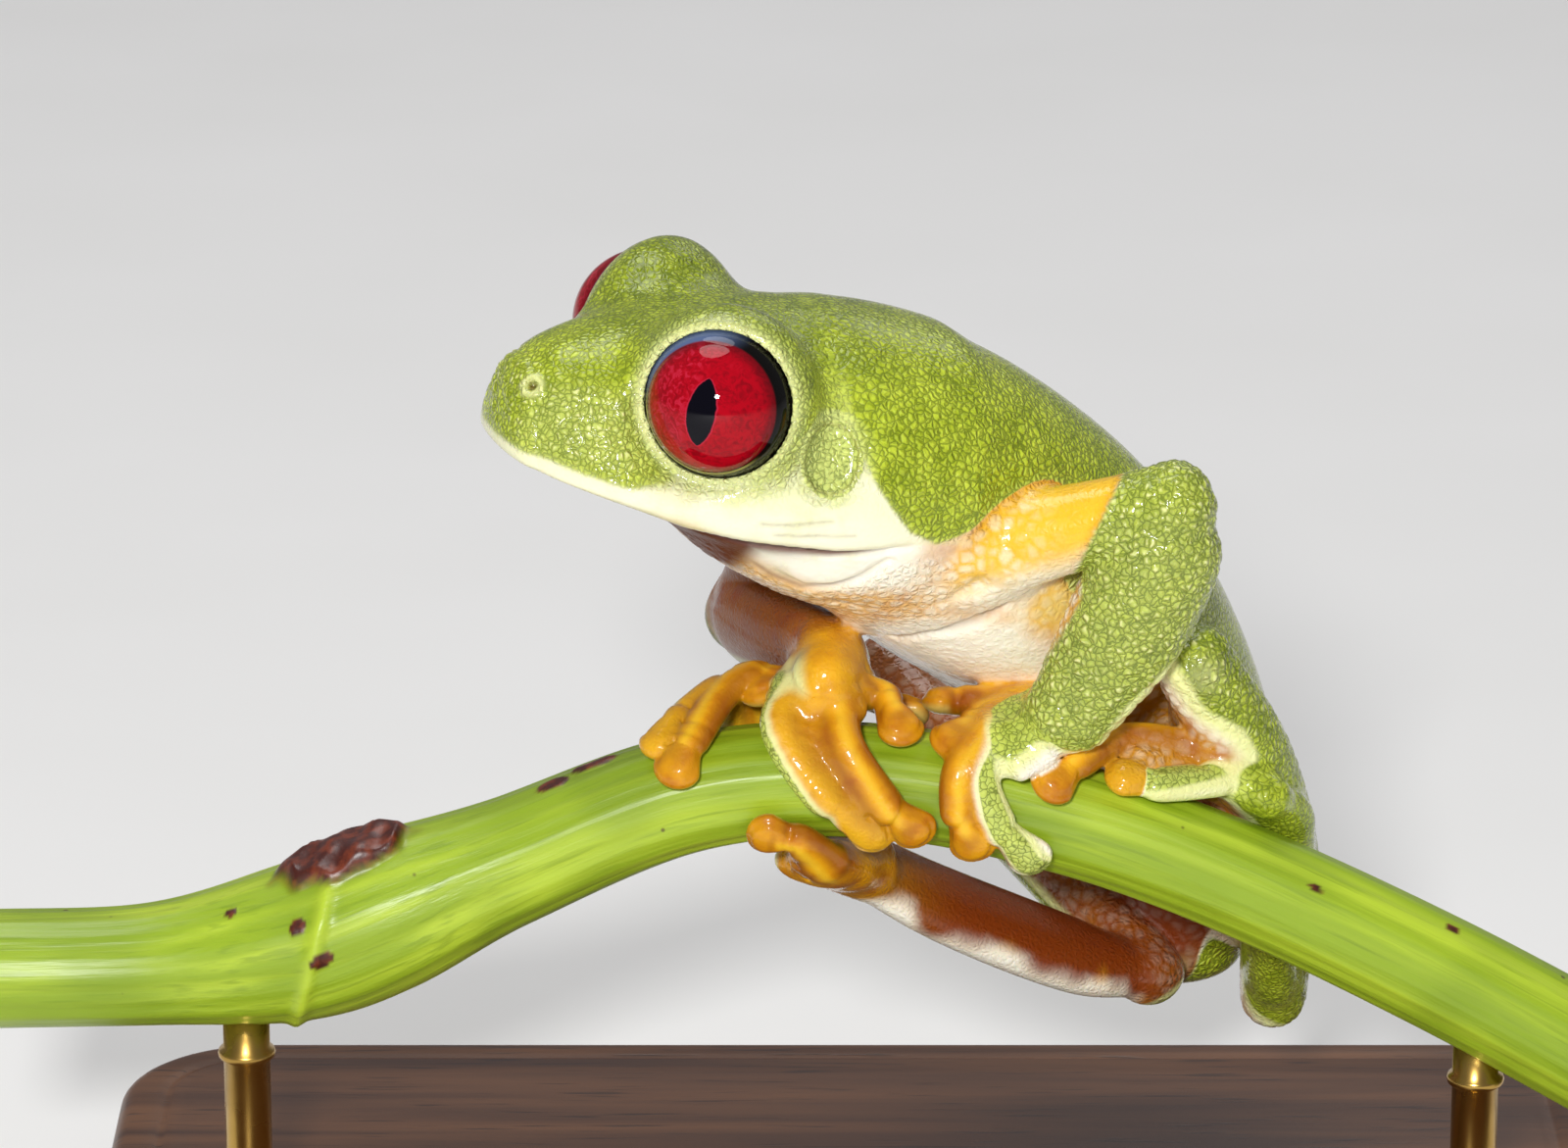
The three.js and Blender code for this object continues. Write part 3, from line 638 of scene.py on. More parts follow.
def shape_head(flesh):
    """Presses in the nostrils, the eardrums and the creases of the head, on both sides."""
    for _, side in SIDES:
        mirror = (1, side, 1)
        nostril, _ = flesh.settle(head_point(*np.multiply(NOSTRIL, mirror)))

        def pit(at):
            away = np.sqrt(square_from(at, nostril))
            return 0.6 * bell(away, 0.24) - 0.12 * bell(away - 0.47, 0.18)

        flesh.offset(pit, nostril - 1.5, nostril + 1.5)
        centre, out = flesh.settle(head_point(*np.multiply(EARDRUM["at"], mirror)))

        def drum(at):
            shape = np.broadcast_shapes(*(v.shape for v in at))
            points = np.stack([np.broadcast_to(v, shape).ravel() for v in at], 1)
            away = ear_place(points, centre, out).reshape(shape)
            return 0.14 * smoothstep(1.0, 0.8, away) - 0.12 * bell(away - 1.04, 0.09)

        flesh.offset(drum, centre - 2.6, centre + 2.6)
        for line, width, depth in HEAD_CREASES:
            flesh.press([head_point(*np.multiply(p, mirror)) for p in line], width, depth)
        LANDMARKS["nostril", side] = nostril
        LANDMARKS["eardrum", side] = (centre, out)
    for line, width, depth in BODY_CREASES:
        flesh.press(line, width, depth)


def shape_paws(flesh):
    """Presses the folds between the bones of each palm, the knuckle creases and the rims of the discs."""
    # The back of the right hand bulges over the bones of the wrist.
    bulge = 1.3
    flesh.add_shape("hand_right_palm_back", lambda at: np.sqrt(square_from(at, HAND_BACK)) - bulge,
                    HAND_BACK, 3.0, 1.2)
    for name, paw in PAWS.items():
        palm = flesh.parts[f"{name}_palm"][2]
        digits = [flesh.parts[f"{name}_digit_{number}"][2] for number in range(1, len(paw["digits"]) + 1)]
        for first, second in zip(digits[:-1], digits[1:]):
            web = (first.at[0] + second.at[0] + first.at[1] + second.at[1]) / 4
            start = palm.at[0] + (web - palm.at[0]) * 0.5
            line = [flesh.settle(start + (web - start) * share)[0] for share in np.linspace(0, 1, 5)]
            flesh.press(line, 0.3, 0.12)
        for digit in digits:
            for share in KNUCKLES:
                centre, _, side, up, (width, height, _) = digit.section(share)
                arc = [centre + up * height * math.cos(a) + side * width * math.sin(a)
                       for a in np.radians(np.linspace(-75, 75, 9))]
                flesh.press(arc, 0.16, 0.07)
            centre, along, side, up, (width, height, _) = digit.section(DISC_MIDDLE)
            rim = [centre + up * height * 0.45 + (side * math.cos(a) + along * math.sin(a)) * width * 0.93
                   for a in np.radians(np.linspace(0, 360, 25))]
            flesh.press(rim, 0.17, 0.15)


def stretch_web(flesh):
    """A thin web of skin between the outer two fingers of the right hand, to past their middles."""
    fingers = [flesh.parts[f"hand_right_digit_{number}"][2] for number in (3, 4)]
    shares = np.linspace(0.05, 0.66, 14)
    lines = [finger.sections(shares)[0] for finger in fingers]

    def web(at):
        nearest = np.float32(1e9)
        for start, end, share in zip(*lines, shares):
            away = np.sqrt(square_from_segment(at, start, end))
            nearest = np.minimum(nearest, away - 0.55 + 0.3 * share)
        return nearest

    flesh.add_shape("hand_right_web", web, (lines[0].mean(0) + lines[1].mean(0)) / 2, 5.5, 0.7)


def trim_to_stem(flesh):
    """Presses the grip flat where it meets the stem, leaving a hair of clearance."""
    clearance = 0.04
    flesh.carve(lambda at: stem_distance(*at) - clearance, [-24, -6, -20], [32, 6, 6], 0.12)


def scatter(index, values, count):
    """For each of count places, the sum of the rows of values that are indexed to it."""
    return np.stack([np.bincount(index, column, count) for column in values.T], 1)


def relax(points, quads, rounds=2):
    """Evens out the voxel steps with paired smoothing passes that keep the volume."""
    edges = np.vstack([quads[:, [k, (k + 1) % 4]] for k in range(4)])
    count = np.bincount(edges.ravel(), minlength=len(points)).astype(float)[:, None]
    for _ in range(rounds):
        for factor in (0.5, -0.52):
            total = sum(scatter(a, points[b], len(points)) for a, b in (edges.T, edges.T[::-1]))
            points = points + factor * (total / np.maximum(count, 1) - points)
    return points


def vertex_normals(points, quads):
    """Outward directions at the points, from the faces round them."""
    a, b, c, d = (points[quads[:, k]] for k in range(4))
    normal = np.cross(c - a, d - b)
    return unit(sum(scatter(quads[:, k], normal, len(points)) for k in range(4)))


def pebbles(points, pitch):
    """Rounded cells about pitch mm apart: 0 in the grooves between them and 1 on their crowns."""
    cell = points / pitch
    base = np.floor(cell).astype(np.int64)
    first = np.full(len(points), 9.0)
    second = np.full(len(points), 9.0)
    for corner in np.ndindex(3, 3, 3):
        place = base + np.array(corner) - 1
        # A repeatable scatter of the cells' middles: the usual integer hash, folded by a sine.
        seed = place @ np.array([73856093, 19349663, 83492791])
        jitter = [np.modf(np.abs(np.sin(seed * k) * 43758.5453))[0] for k in (0.131, 0.373, 0.719)]
        away = np.linalg.norm(cell - place - 0.1 - 0.8 * np.stack(jitter, 1), axis=1)
        second = np.minimum(second, np.maximum(first, away))
        first = np.minimum(first, away)
    return smoothstep(0, 0.45, second - first)


def link(thing):
    """Puts an object in the scene."""
    bpy.context.scene.collection.objects.link(thing)
    return thing


def make_mesh(name, points, faces):
    """A shaded-smooth mesh object; points are in mm in the stem's frame."""
    mesh = bpy.data.meshes.new(name)
    points = (np.asarray(points, float) + LIFT) * MM
    faces = [np.asarray(group, np.int64) for group in faces if len(group)]
    corners = np.concatenate([group.ravel() for group in faces])
    totals = np.concatenate([np.full(len(group), group.shape[1]) for group in faces])
    mesh.vertices.add(len(points))
    mesh.vertices.foreach_set("co", points.ravel())
    mesh.loops.add(len(corners))
    mesh.loops.foreach_set("vertex_index", corners)
    mesh.polygons.add(len(totals))
    mesh.polygons.foreach_set("loop_start", np.concatenate([[0], np.cumsum(totals)[:-1]]))
    mesh.polygons.foreach_set("use_smooth", np.ones(len(totals), bool))
    mesh.update(calc_edges=True)
    mesh.validate()
    return link(bpy.data.objects.new(name, mesh))


def store(piece, marks):
    """Keeps each marking's values on the piece's points, for its material to read."""
    for name, values in marks.items():
        attribute = piece.data.attributes.new(name, "FLOAT", "POINT")
        attribute.data.foreach_set("value", np.asarray(values, np.float32))


# ------------------------------------------------------------------ where each marking lies
# Green, orange and violet are in mm, positive inside the marking; the others run from 0 to 1. These
# values hold wherever a part's own markings don't say otherwise.
# The shade and dark marks carry painted shade as well as the skin's own darker tones; pale, cream and
# pebble also carry painted highlights on the knee, the digits' ridges and the beads of snout, shoulder and
# forearm.
MARKS = {"green": -3.0, "orange": -3.0, "violet": -3.0, "fringe": 0.0, "cream": 0.0, "pale": 0.0,
         "shade": 0.0, "grain": 0.3, "coarse": 0.0, "dark": 0.0, "pebble": 0.0}
# The green's lower edges on the left side of the head, in the head's frame: [along the nose, up]. The
# shoulder patch has a crisp edge that runs up behind the eardrum; the face patch fades into the lip.
SHOULDER_EDGE = [(-21.5, -1.6), (-19.2, -2.7), (-16.8, -4.3), (-14.6, -5.7), (-11.8, -6.1), (-10.2, -5.5),
                 (-8.9, -4.3), (-8.0, -3.2), (-7.3, -2.0), (-6.6, -0.8), (-6.0, 3.0)]
FACE_EDGE = [(-12.0, -0.2), (-7.2, -0.6), (-6.0, -2.2), (-4.2, -3.2), (-1.6, -4.0), (0.5, -4.3),
             (3.0, -4.6), (4.6, -4.85), (6.5, -4.6), (8.3, -4.33), (12.5, -4.2)]
# The lower edge of the throat's pale lens, and the edge below which the throat is orange.
LENS_EDGE = [(-11.0, -6.8), (-9.5, -7.4), (-8.5, -8.4), (-7.3, -9.2), (-5.9, -9.7), (-4.2, -9.2),
             (-2.3, -8.2), (0.7, -7.3)]
THROAT_HEM = [(-11.5, -10.3), (-8.1, -10.5), (-6.8, -10.8), (-4.2, -10.1), (-2.4, -9.4), (1.0, -7.6)]
# Places in the stem's frame: the yellow patch by the armpit, the painted highlight on the left knee, and
# the right hand's web.
YELLOW_PATCH = (10.3, -0.8, 9.9)
KNEE_HIGHLIGHT = (18.0, -1.6, 6.3)
WEB_ROOT = (-2.1, -2.0, 5.0)


def near_line(points, line):
    """How far points lie from a line through space, in mm."""
    nearest = np.full(len(points), 1e9)
    for start, end in zip(line[:-1], line[1:]):
        step = np.subtract(end, start)
        t = np.clip((points - start) @ step / (step @ step), 0, 1)
        nearest = np.minimum(nearest, np.linalg.norm(points - start - t[:, None] * step, axis=1))
    return nearest


def fold_painted_shade(points):
    """Painted shade: redder, darker skin in the folds of the throat and the armpit."""
    return np.max([0.4 * bell(near_line(points, line), 0.3) for line, _, _ in BODY_CREASES[:2]], axis=0)


def chest_orange(along, up):
    """Orange behind the throat and above the belly, in the head's frame."""
    return np.minimum(np.minimum((-11.8 - along) * 0.5, (up + 10.8) * 0.8), -0.05)


def leafy(green):
    """0 off the green and 1 on it."""
    return smoothstep(-0.5, 0.3, green)


# Each paint function has a part's points, in mm, and their places along it (from 0 to 1) and sideways
# and upwards of its middle line (in mm). It gives the part's markings.
def paint_head(points, *_):
    """Green above, white below the eye and along the lip, an orange throat with a pale lens."""
    along, left, up = to_head(points).T
    place = np.stack([along, up], 1)
    soft = 1 - 0.86 * (1 - smoothstep(1.5, 5.0, along))
    green = np.maximum(line_side(place, SHOULDER_EDGE), line_side(place, FACE_EDGE) * soft)
    pale = 0.3 * smoothstep(-5.0, -3.5, up) * (1 - smoothstep(-1.5, 0.3, up)) * smoothstep(2.0, 4.0, along)
    pale *= smoothstep(2.0, 3.5, np.abs(left))
    cream = np.zeros(len(points))
    dark = fold_painted_shade(points)
    for _, side in SIDES:
        # A cream line along the lid's edge, and a pale glow round it.
        centre, axes = eye_frame(side)
        across, slit, out = ((points - centre) @ axes.T).T
        around = np.hypot(across, slit)
        rim = bell(around - 3.98, 0.3) * smoothstep(0.2, 0.9, out) * (1 - smoothstep(1.5, 2.0, out))
        cream = np.maximum(cream, rim * (0.6 + 0.4 * smoothstep(-2.5, 1.5, slit - side * across)))
        glow = (1 - smoothstep(4.15, 5.0, around)) * smoothstep(-1.0, 0.6, out)
        pale = np.maximum(pale, 0.6 * glow)
        # The eardrum: pale green, with a green ring on a dark line and a halo that fades outwards.
        drum, normal = LANDMARKS["eardrum", side]
        away = ear_place(points, drum, normal) + 9 * (np.linalg.norm(points - drum, axis=1) > 2.6)
        disc = 1 - smoothstep(0.93, 1.0, away)
        halo = smoothstep(1.9, 1.1, away)
        green = np.maximum(green, halo * 0.16 - 0.13) * (1 - disc) + disc * 0.8
        green = np.maximum(green, bell(away - 1.05, 0.07) * 1.2 - 0.6)
        pale = np.maximum(pale, 0.6 * halo) * (1 - disc) + disc * 0.6
        dark = np.maximum(dark, 0.3 * bell(away - 0.97, 0.05))
        # A cream ring round each nostril, and painted shade in its pit.
        away = np.linalg.norm(points - LANDMARKS["nostril", side], axis=1)
        cream = np.maximum(cream, 0.8 * bell(away - 0.46, 0.2))
        dark = np.maximum(dark, 1 - smoothstep(0.16, 0.34, away))
    # Painted shade, dark and reddish: in the mouth's gap, on the jaw in front of it, and in the creases of
    # cheek and throat.
    below = below_mouth(along, up)
    gap = 0.13 + 0.3 * smoothstep(-8.5, -2.0, along)
    dark = np.maximum(dark, 0.9 * bell(below - gap, gap) * smoothstep(-10.0, -7.0, along))
    front = smoothstep(-3.7, -2.2, along) * smoothstep(0.05, 0.3, below) * (1 - smoothstep(2.6, 3.8, below))
    jaw = 0.95 * front * (1 - 0.7 * smoothstep(1.5, 5.0, along)) * smoothstep(0.8, 2.4, np.abs(left))
    dark = np.maximum(dark, jaw)
    fold, *cheek = [line_side(place, [(a, c) for a, _, c in line]) for line, _, _ in HEAD_CREASES[:3]]
    dark = np.maximum(dark, 0.45 * bell(fold, 0.14) * smoothstep(-9.5, -7.5, along))
    for away in cheek:
        dark = np.maximum(dark, 0.3 * bell(away, 0.09))
    lens, hem = (np.interp(along, *np.transpose(edge)) for edge in (LENS_EDGE, THROAT_HEM))
    under = smoothstep(0.0, 0.5, lens - up) * (1 - smoothstep(3, 8, along))
    orange = np.maximum(chest_orange(along, up), np.minimum((hem + 1.0 - up) * 0.7, 0.25))
    # Painted highlights: white-tipped beads, as sparkles, on the side of the snout and on the shoulder.
    painted_glint = smoothstep(1.5, 4.0, along) * smoothstep(-4.6, -3.4, up) * (1 - smoothstep(-1.0, 0.6, up))
    painted_glint = np.maximum(painted_glint, np.exp(-((along + 11.5) / 1.6) ** 2 - ((up + 2.4) / 1.3) ** 2))
    # The white below the eye is yellower near the eardrum than along the lip.
    white = smoothstep(0.5, -0.5, green)
    warm = (0.4 + 0.5 * smoothstep(-6.0, -3.4, up)) * white * smoothstep(0.1, -0.1, below)
    return {"green": green, "orange": orange, "cream": np.maximum(cream, warm), "pale": pale, "dark": dark,
            # The top of the head is darker green, partly painted shade.
            "shade": smoothstep(0.4, 2.6, up) * 0.5 * smoothstep(-13.0, -9.0, along),
            "grain": 0.06 + 0.94 * smoothstep(-0.15, 0.1, green) + 0.5 * under * (1 - front),
            "coarse": smoothstep(-4.5, -7.5, along), "pebble": under * white * 0.8 + 0.9 * painted_glint}


def paint_trunk(points, t, side, up):
    """Green back, pale granular belly, orange chest, a yellow patch, and an orange vent darkened by painted
    shade.
    """
    along, _, head_up = to_head(points).T
    front = line_side(np.stack([along, head_up], 1), SHOULDER_EDGE)
    back = up + 2.4 - 1.2 * smoothstep(0.3, 0.7, t)
    rear = smoothstep(0.18, 0.34, t)
    green = front * (1 - rear) + back * rear
    # Violet flanks, barred with cream.
    flank = smoothstep(0.58, 0.64, t) * (1 - smoothstep(0.82, 0.9, t))
    violet = np.minimum(-0.1 - back, back + 3.6) + (flank - 1) * 6
    violet = np.minimum(violet, np.sin(t * 62.0) * 1.2)
    orange = np.maximum(chest_orange(along, head_up) - 6 * smoothstep(0.3, 0.42, t),
                        np.minimum((t - 0.45) * 9, np.abs(side) - 5.0))
    spot = bell(np.linalg.norm(points - YELLOW_PATCH, axis=1), 1.8)
    # Round the vent the skin is orange, darkened below by painted shade.
    vent = smoothstep(0.74, 0.82, t) * smoothstep(1.0, -1.0, up) * smoothstep(0.4, -0.4, green)
    orange = np.max([orange, 2.2 * spot - 0.7, 3.0 * vent - 1.5], axis=0)
    granules = smoothstep(0.4, -0.6, green) * (0.35 + 0.5 * smoothstep(0.3, 0.1, t)) * (1 - 0.75 * vent)
    return {"green": green, "orange": orange, "violet": violet, "fringe": flank, "cream": 0.45 * spot,
            "pale": 0.6 * spot, "dark": fold_painted_shade(points), "coarse": 1.0, "pebble": granules,
            # The rear of the back is darker, partly painted shade; the vent is darkened deeply by painted
            # shade.
            "shade": 0.3 * smoothstep(0.3, 0.8, t) + 0.9 * vent,
            "grain": 0.2 + 0.8 * smoothstep(-0.6, 0.3, green)}


def paint_upper_arm_left(points, t, side, up):
    """Yellow orange, with green over the elbow."""
    green = (t - 0.58 - 0.08 * up) * 8
    return {"green": green, "orange": 0.75 + up * 0.55, "grain": 0.25 + 0.75 * leafy(green), "coarse": 1.0,
            "pale": 0.75 - 0.6 * leafy(green), "shade": 0.25 * leafy(green),
            "pebble": 0.6 * smoothstep(0.5, 0.1, t) + 0.9 * smoothstep(-0.2, 0.3, green)}


def paint_upper_arm_right(points, t, side, up):
    """Orange, seen from its underside, darkened towards the elbow by painted shade."""
    painted_shade_share = smoothstep(0.2, 0.5, t)
    return {"green": (t - 0.93) * 8, "orange": 1.0 + up * 0.4, "grain": 0.25, "shade": 0.8 * painted_shade_share,
            "dark": 0.45 * painted_shade_share}


def paint_forearm_left(points, t, side, up):
    """A broad green face whose beads have white tips of painted highlight, pale along its lower edge, and
    darker near the elbow by painted shade.
    """
    lower = smoothstep(0.3, 0.8, t)
    front = 2.75 + 1.8 * smoothstep(0.5, 0.25, t)
    green = np.minimum(np.minimum(front - side, side + 3.6 - 1.5 * lower), up + 0.8 - 0.5 * lower)
    return {"green": green, "orange": np.minimum(side + 0.4, 2.0), "fringe": smoothstep(1.5, 0.0, side),
            "grain": 0.25 + 0.75 * leafy(green), "coarse": 1.0, "pale": 0.25, "pebble": 0.9,
            "shade": 0.3 + 0.15 * smoothstep(0.3, 0.0, t)}


def paint_forearm_right(points, t, side, up):
    # The far forearm: green on its outer side, orange within, with painted shade all over, darkest from the
    # elbow on.
    green = -side - 0.3
    return {"green": green, "orange": 2.0, "fringe": 1.0, "shade": 0.8, "grain": 0.3 + 0.7 * leafy(green),
            "dark": 0.45 * smoothstep(1.0, 0.75, t)}


def paint_shank_left(points, t, side, up):
    """Green outer face that ends in a cream line; the knee is darker, with a painted highlight of cream and
    white bead tips.
    """
    green = (0.8 * up - 0.5 * side - 0.55 + 1.3 * smoothstep(0.2, 0.04, t)) * 0.7
    # Painted highlight: cream and whiter bead tips on the front of the knee.
    knee = np.linalg.norm(points - KNEE_HIGHLIGHT, axis=1)
    return {"green": green, "orange": -green - 0.9, "fringe": 1.0, "coarse": 1.0,
            "shade": 0.3 + 0.25 * smoothstep(0.12, 0.03, t), "cream": 0.4 * bell(knee, 1.0),
            "pebble": 0.5 + 0.4 * smoothstep(0.15, 0.05, t), "grain": 0.2 + 0.8 * leafy(green)}


def paint_shank_right(points, t, side, up):
    # Orange inner face, darkened across most of it by painted shade.
    return {"green": -side - 0.2, "orange": 1.4, "fringe": 1.0, "shade": 0.9 * smoothstep(-0.8, 0.4, side),
            "coarse": 1.0, "grain": 0.6, "pebble": 0.15 * smoothstep(-0.5, 0.5, side)}


def paint_thigh(points, t, side, up):
    hip = smoothstep(0.75, 1.0, t)
    green = up - 1.3 + 2.5 * hip
    # The thighs' orange is darkened evenly by painted shade.
    return {"green": green, "orange": 1.5 - 2 * hip, "shade": 0.5, "coarse": 1.0,
            "grain": 0.5 + 0.5 * smoothstep(-0.5, 0.5, green), "pebble": 0.2 * smoothstep(0.3, -0.3, green)}


def paint_tarsus_left(points, t, side, up):
    return {"green": 0.5 - side, "orange": side - 0.8, "fringe": 1.0, "shade": 0.2, "grain": 0.7}


def paint_tarsus_right(points, t, side, up):
    """Orange, red brown above and white below: the red brown is painted shadow of the stem, and the wavy
    edge between them, higher near the foot, follows painted shadows of the toes.
    """
    wave = 0.45 * np.sin(t * 21.0) + 0.2 * np.sin(t * 47.0)
    wave = wave - 0.45 * smoothstep(0.7, 0.35, t) * smoothstep(0.0, 0.12, t)
    return {"orange": np.maximum(up * 0.9 - 0.12 + wave, 1.8 * up - 1.3), "grain": 0.3,
            "shade": smoothstep(-0.8, 0.4, up + wave), "pale": 0.2 * smoothstep(0.6, 1.0, t)}


def paint_hand_left(points, t, side, up):
    """A green back with white edges."""
    green = np.minimum(np.minimum(up + 0.5, side + 1.7), 2.4 - side)
    return {"green": green, "orange": side - 1.4 + 1.2 * t, "fringe": smoothstep(1.8, 0.5, side),
            "grain": 0.45, "pale": 0.25}


def paint_hand_right(points, *_):
    """Orange, browner at both sides where shade is painted, with green on its outer edge."""
    x, _, z = points.T
    return {"green": -x - 3.3 - 0.5 * smoothstep(5.2, 6.6, z), "orange": 1.6, "fringe": 1.0, "grain": 0.15,
            "shade": 0.45 * smoothstep(0.3, 1.6, np.abs(x + 2.1)), "pale": 0.3}


def paint_foot_left(points, t, side, up):
    return {"green": -side - 0.1, "orange": side - 0.6, "fringe": 1.0, "grain": 0.6, "shade": 0.2}


def paint_foot_right(points, t, side, up):
    return {"green": -side - 1.2 - 1.5 * smoothstep(0.6, 1.0, t), "orange": 1.5, "fringe": 1.0,
            "grain": 0.25, "shade": 0.3}


def paint_digit(points, t, side, up):
    """Orange, with a painted highlight along its paler ridge, painted shade on its browner flanks, and a
    smudge on the disc over its pale pad.
    """
    disc = smoothstep(0.78, 0.92, t)
    pad = disc * smoothstep(0.0, -0.45, up)
    smudge = disc * (1 - pad) * smoothstep(0.9, 0.3, np.hypot(side, (t - 0.93) * 9))
    flank = 0.75 * smoothstep(0.3, 0.95, np.abs(side)) * (1 - 0.7 * smoothstep(0.75, 0.95, t))
    return {"orange": 2.0, "grain": 0.06, "shade": flank + 0.1 * disc * (1 - pad) + 0.3 * smudge,
            "pale": 0.75 * smoothstep(0.5, 0.0, np.abs(side)) * (1 - disc) + 0.3 * pad, "cream": 0.3 * pad}


def paint_green_finger(points, t, side, up):
    return {"green": np.minimum(0.72 - np.abs(side + 0.05), up + 0.45) * 2.0, "orange": -0.3 - up,
            "fringe": 1.0, "pale": 0.4, "shade": 0.35 * smoothstep(0.7, 0.9, t), "grain": 0.3}


def paint_edged_digit(points, t, side, up):
    """Orange with a green outer edge."""
    tip = smoothstep(0.7, 0.9, t)
    return {"green": np.minimum(side - 0.5, up + 0.3) * 2.4 - tip * 2.5, "orange": 0.4 - side + tip,
            "fringe": 1.0, "pale": 0.45, "grain": 0.15, "shade": 0.5 * smoothstep(0.0, -0.8, side)}


def paint_second_toe(points, t, side, up):
    tip = smoothstep(0.7, 0.85, t)
    return {"green": (0.8 - np.abs(side) - tip * 2.6) * 1.6, "orange": up - 0.6 + 2.5 * tip,
            "fringe": 1.0 - 0.8 * tip, "pale": 0.35, "shade": 0.25, "grain": 0.25}


def paint_fourth_toe(points, t, side, up):
    tip = smoothstep(0.22, 0.5, t)
    return {"green": (0.35 - side - tip * 2.6) * 1.6, "orange": 2.0 * tip - 0.6, "fringe": 1.0 - tip,
            "grain": 0.6, "coarse": 1.0, "shade": 0.35, "pebble": 0.4}


def paint_web(points, *_):
    away = np.linalg.norm(points - WEB_ROOT, axis=1)
    return {"orange": 2.0, "shade": 0.3 + 0.3 * smoothstep(1.0, 4.0, away), "grain": 0.1}


# The first name that a part's own name starts with says how it is painted.
PAINTS = {
    "head": paint_head, "trunk": paint_trunk, "upper_arm_left": paint_upper_arm_left,
    "upper_arm_right": paint_upper_arm_right, "forearm_left": paint_forearm_left,
    "forearm_right": paint_forearm_right, "shank_left": paint_shank_left, "shank_right": paint_shank_right,
    "thigh": paint_thigh, "tarsus_left": paint_tarsus_left, "tarsus_right": paint_tarsus_right,
    "hand_left_palm": paint_hand_left, "hand_right_palm": paint_hand_right,
    "foot_left_palm": paint_foot_left, "foot_right_palm": paint_foot_right,
    "hand_left_digit_4": paint_green_finger, "hand_right_digit_4": paint_edged_digit,
    "hand_right_web": paint_web, "foot_right_digit_5": paint_edged_digit,
    "foot_left_digit_2": paint_second_toe, "foot_left_digit_4": paint_fourth_toe,
    "hand": paint_digit, "foot": paint_digit,
}


def paint_skin(flesh, points):
    """Blends every part's markings over the whole skin, weighted by how near each part lies."""
    distances = flesh.distances(points)
    nearest = np.min(list(distances.values()), axis=0)
    total = np.zeros(len(points))
    marks = {name: np.zeros(len(points)) for name in MARKS}
    for name, distance in distances.items():
        weight = np.exp(-np.maximum(distance - nearest, 0) / MARK_BLEND)
        chosen = weight > 0.01
        if not chosen.any():
            continue
        part, here = flesh.parts[name][2], points[chosen]
        paint = next(paint for start, paint in PAINTS.items() if name.startswith(start))
        painted = paint(here, *(part.local(here) if part else ()))
        for mark, plain in MARKS.items():
            marks[mark][chosen] += weight[chosen] * np.clip(painted.get(mark, plain), -3, 3)
        total[chosen] += weight[chosen]
    return {mark: values / total for mark, values in marks.items()}


# ------------------------------------------------------------------ materials
def linear(colour):
    """A screen colour, #rrggbb, as linear RGBA."""
    levels = [int(colour[i:i + 2], 16) / 255 for i in (1, 3, 5)]
    return [c / 12.92 if c <= 0.04045 else ((c + 0.055) / 1.055) ** 2.4 for c in levels] + [1.0]


def add(tree, kind, inputs=None, out=0, **settings):
    """Adds a node with its settings; inputs maps sockets to values or to other nodes' outputs."""
    made = tree.nodes.new(kind)
    for key, value in settings.items():
        setattr(made, key, value)
    for socket, value in (inputs or {}).items():
        if isinstance(value, bpy.types.NodeSocket):
            tree.links.new(value, made.inputs[socket])
        else:
            made.inputs[socket].default_value = value
    return made.outputs[out] if made.outputs else None


MIX = "ShaderNodeMix"
RANGE = "ShaderNodeMapRange"
MATHS = "ShaderNodeMath"
VECTOR = "ShaderNodeVectorMath"
BUMP = "ShaderNodeBump"
NOISE = "ShaderNodeTexNoise"
CELLS = "ShaderNodeTexVoronoi"
SOFT = "SMOOTHSTEP"


def new_material(name):
    """An empty node material and its object coordinates."""
    material = bpy.data.materials.new(name)
    material.use_nodes = True
    tree = material.node_tree
    tree.nodes.clear()
    return material, tree, add(tree, "ShaderNodeTexCoord", out="Object")


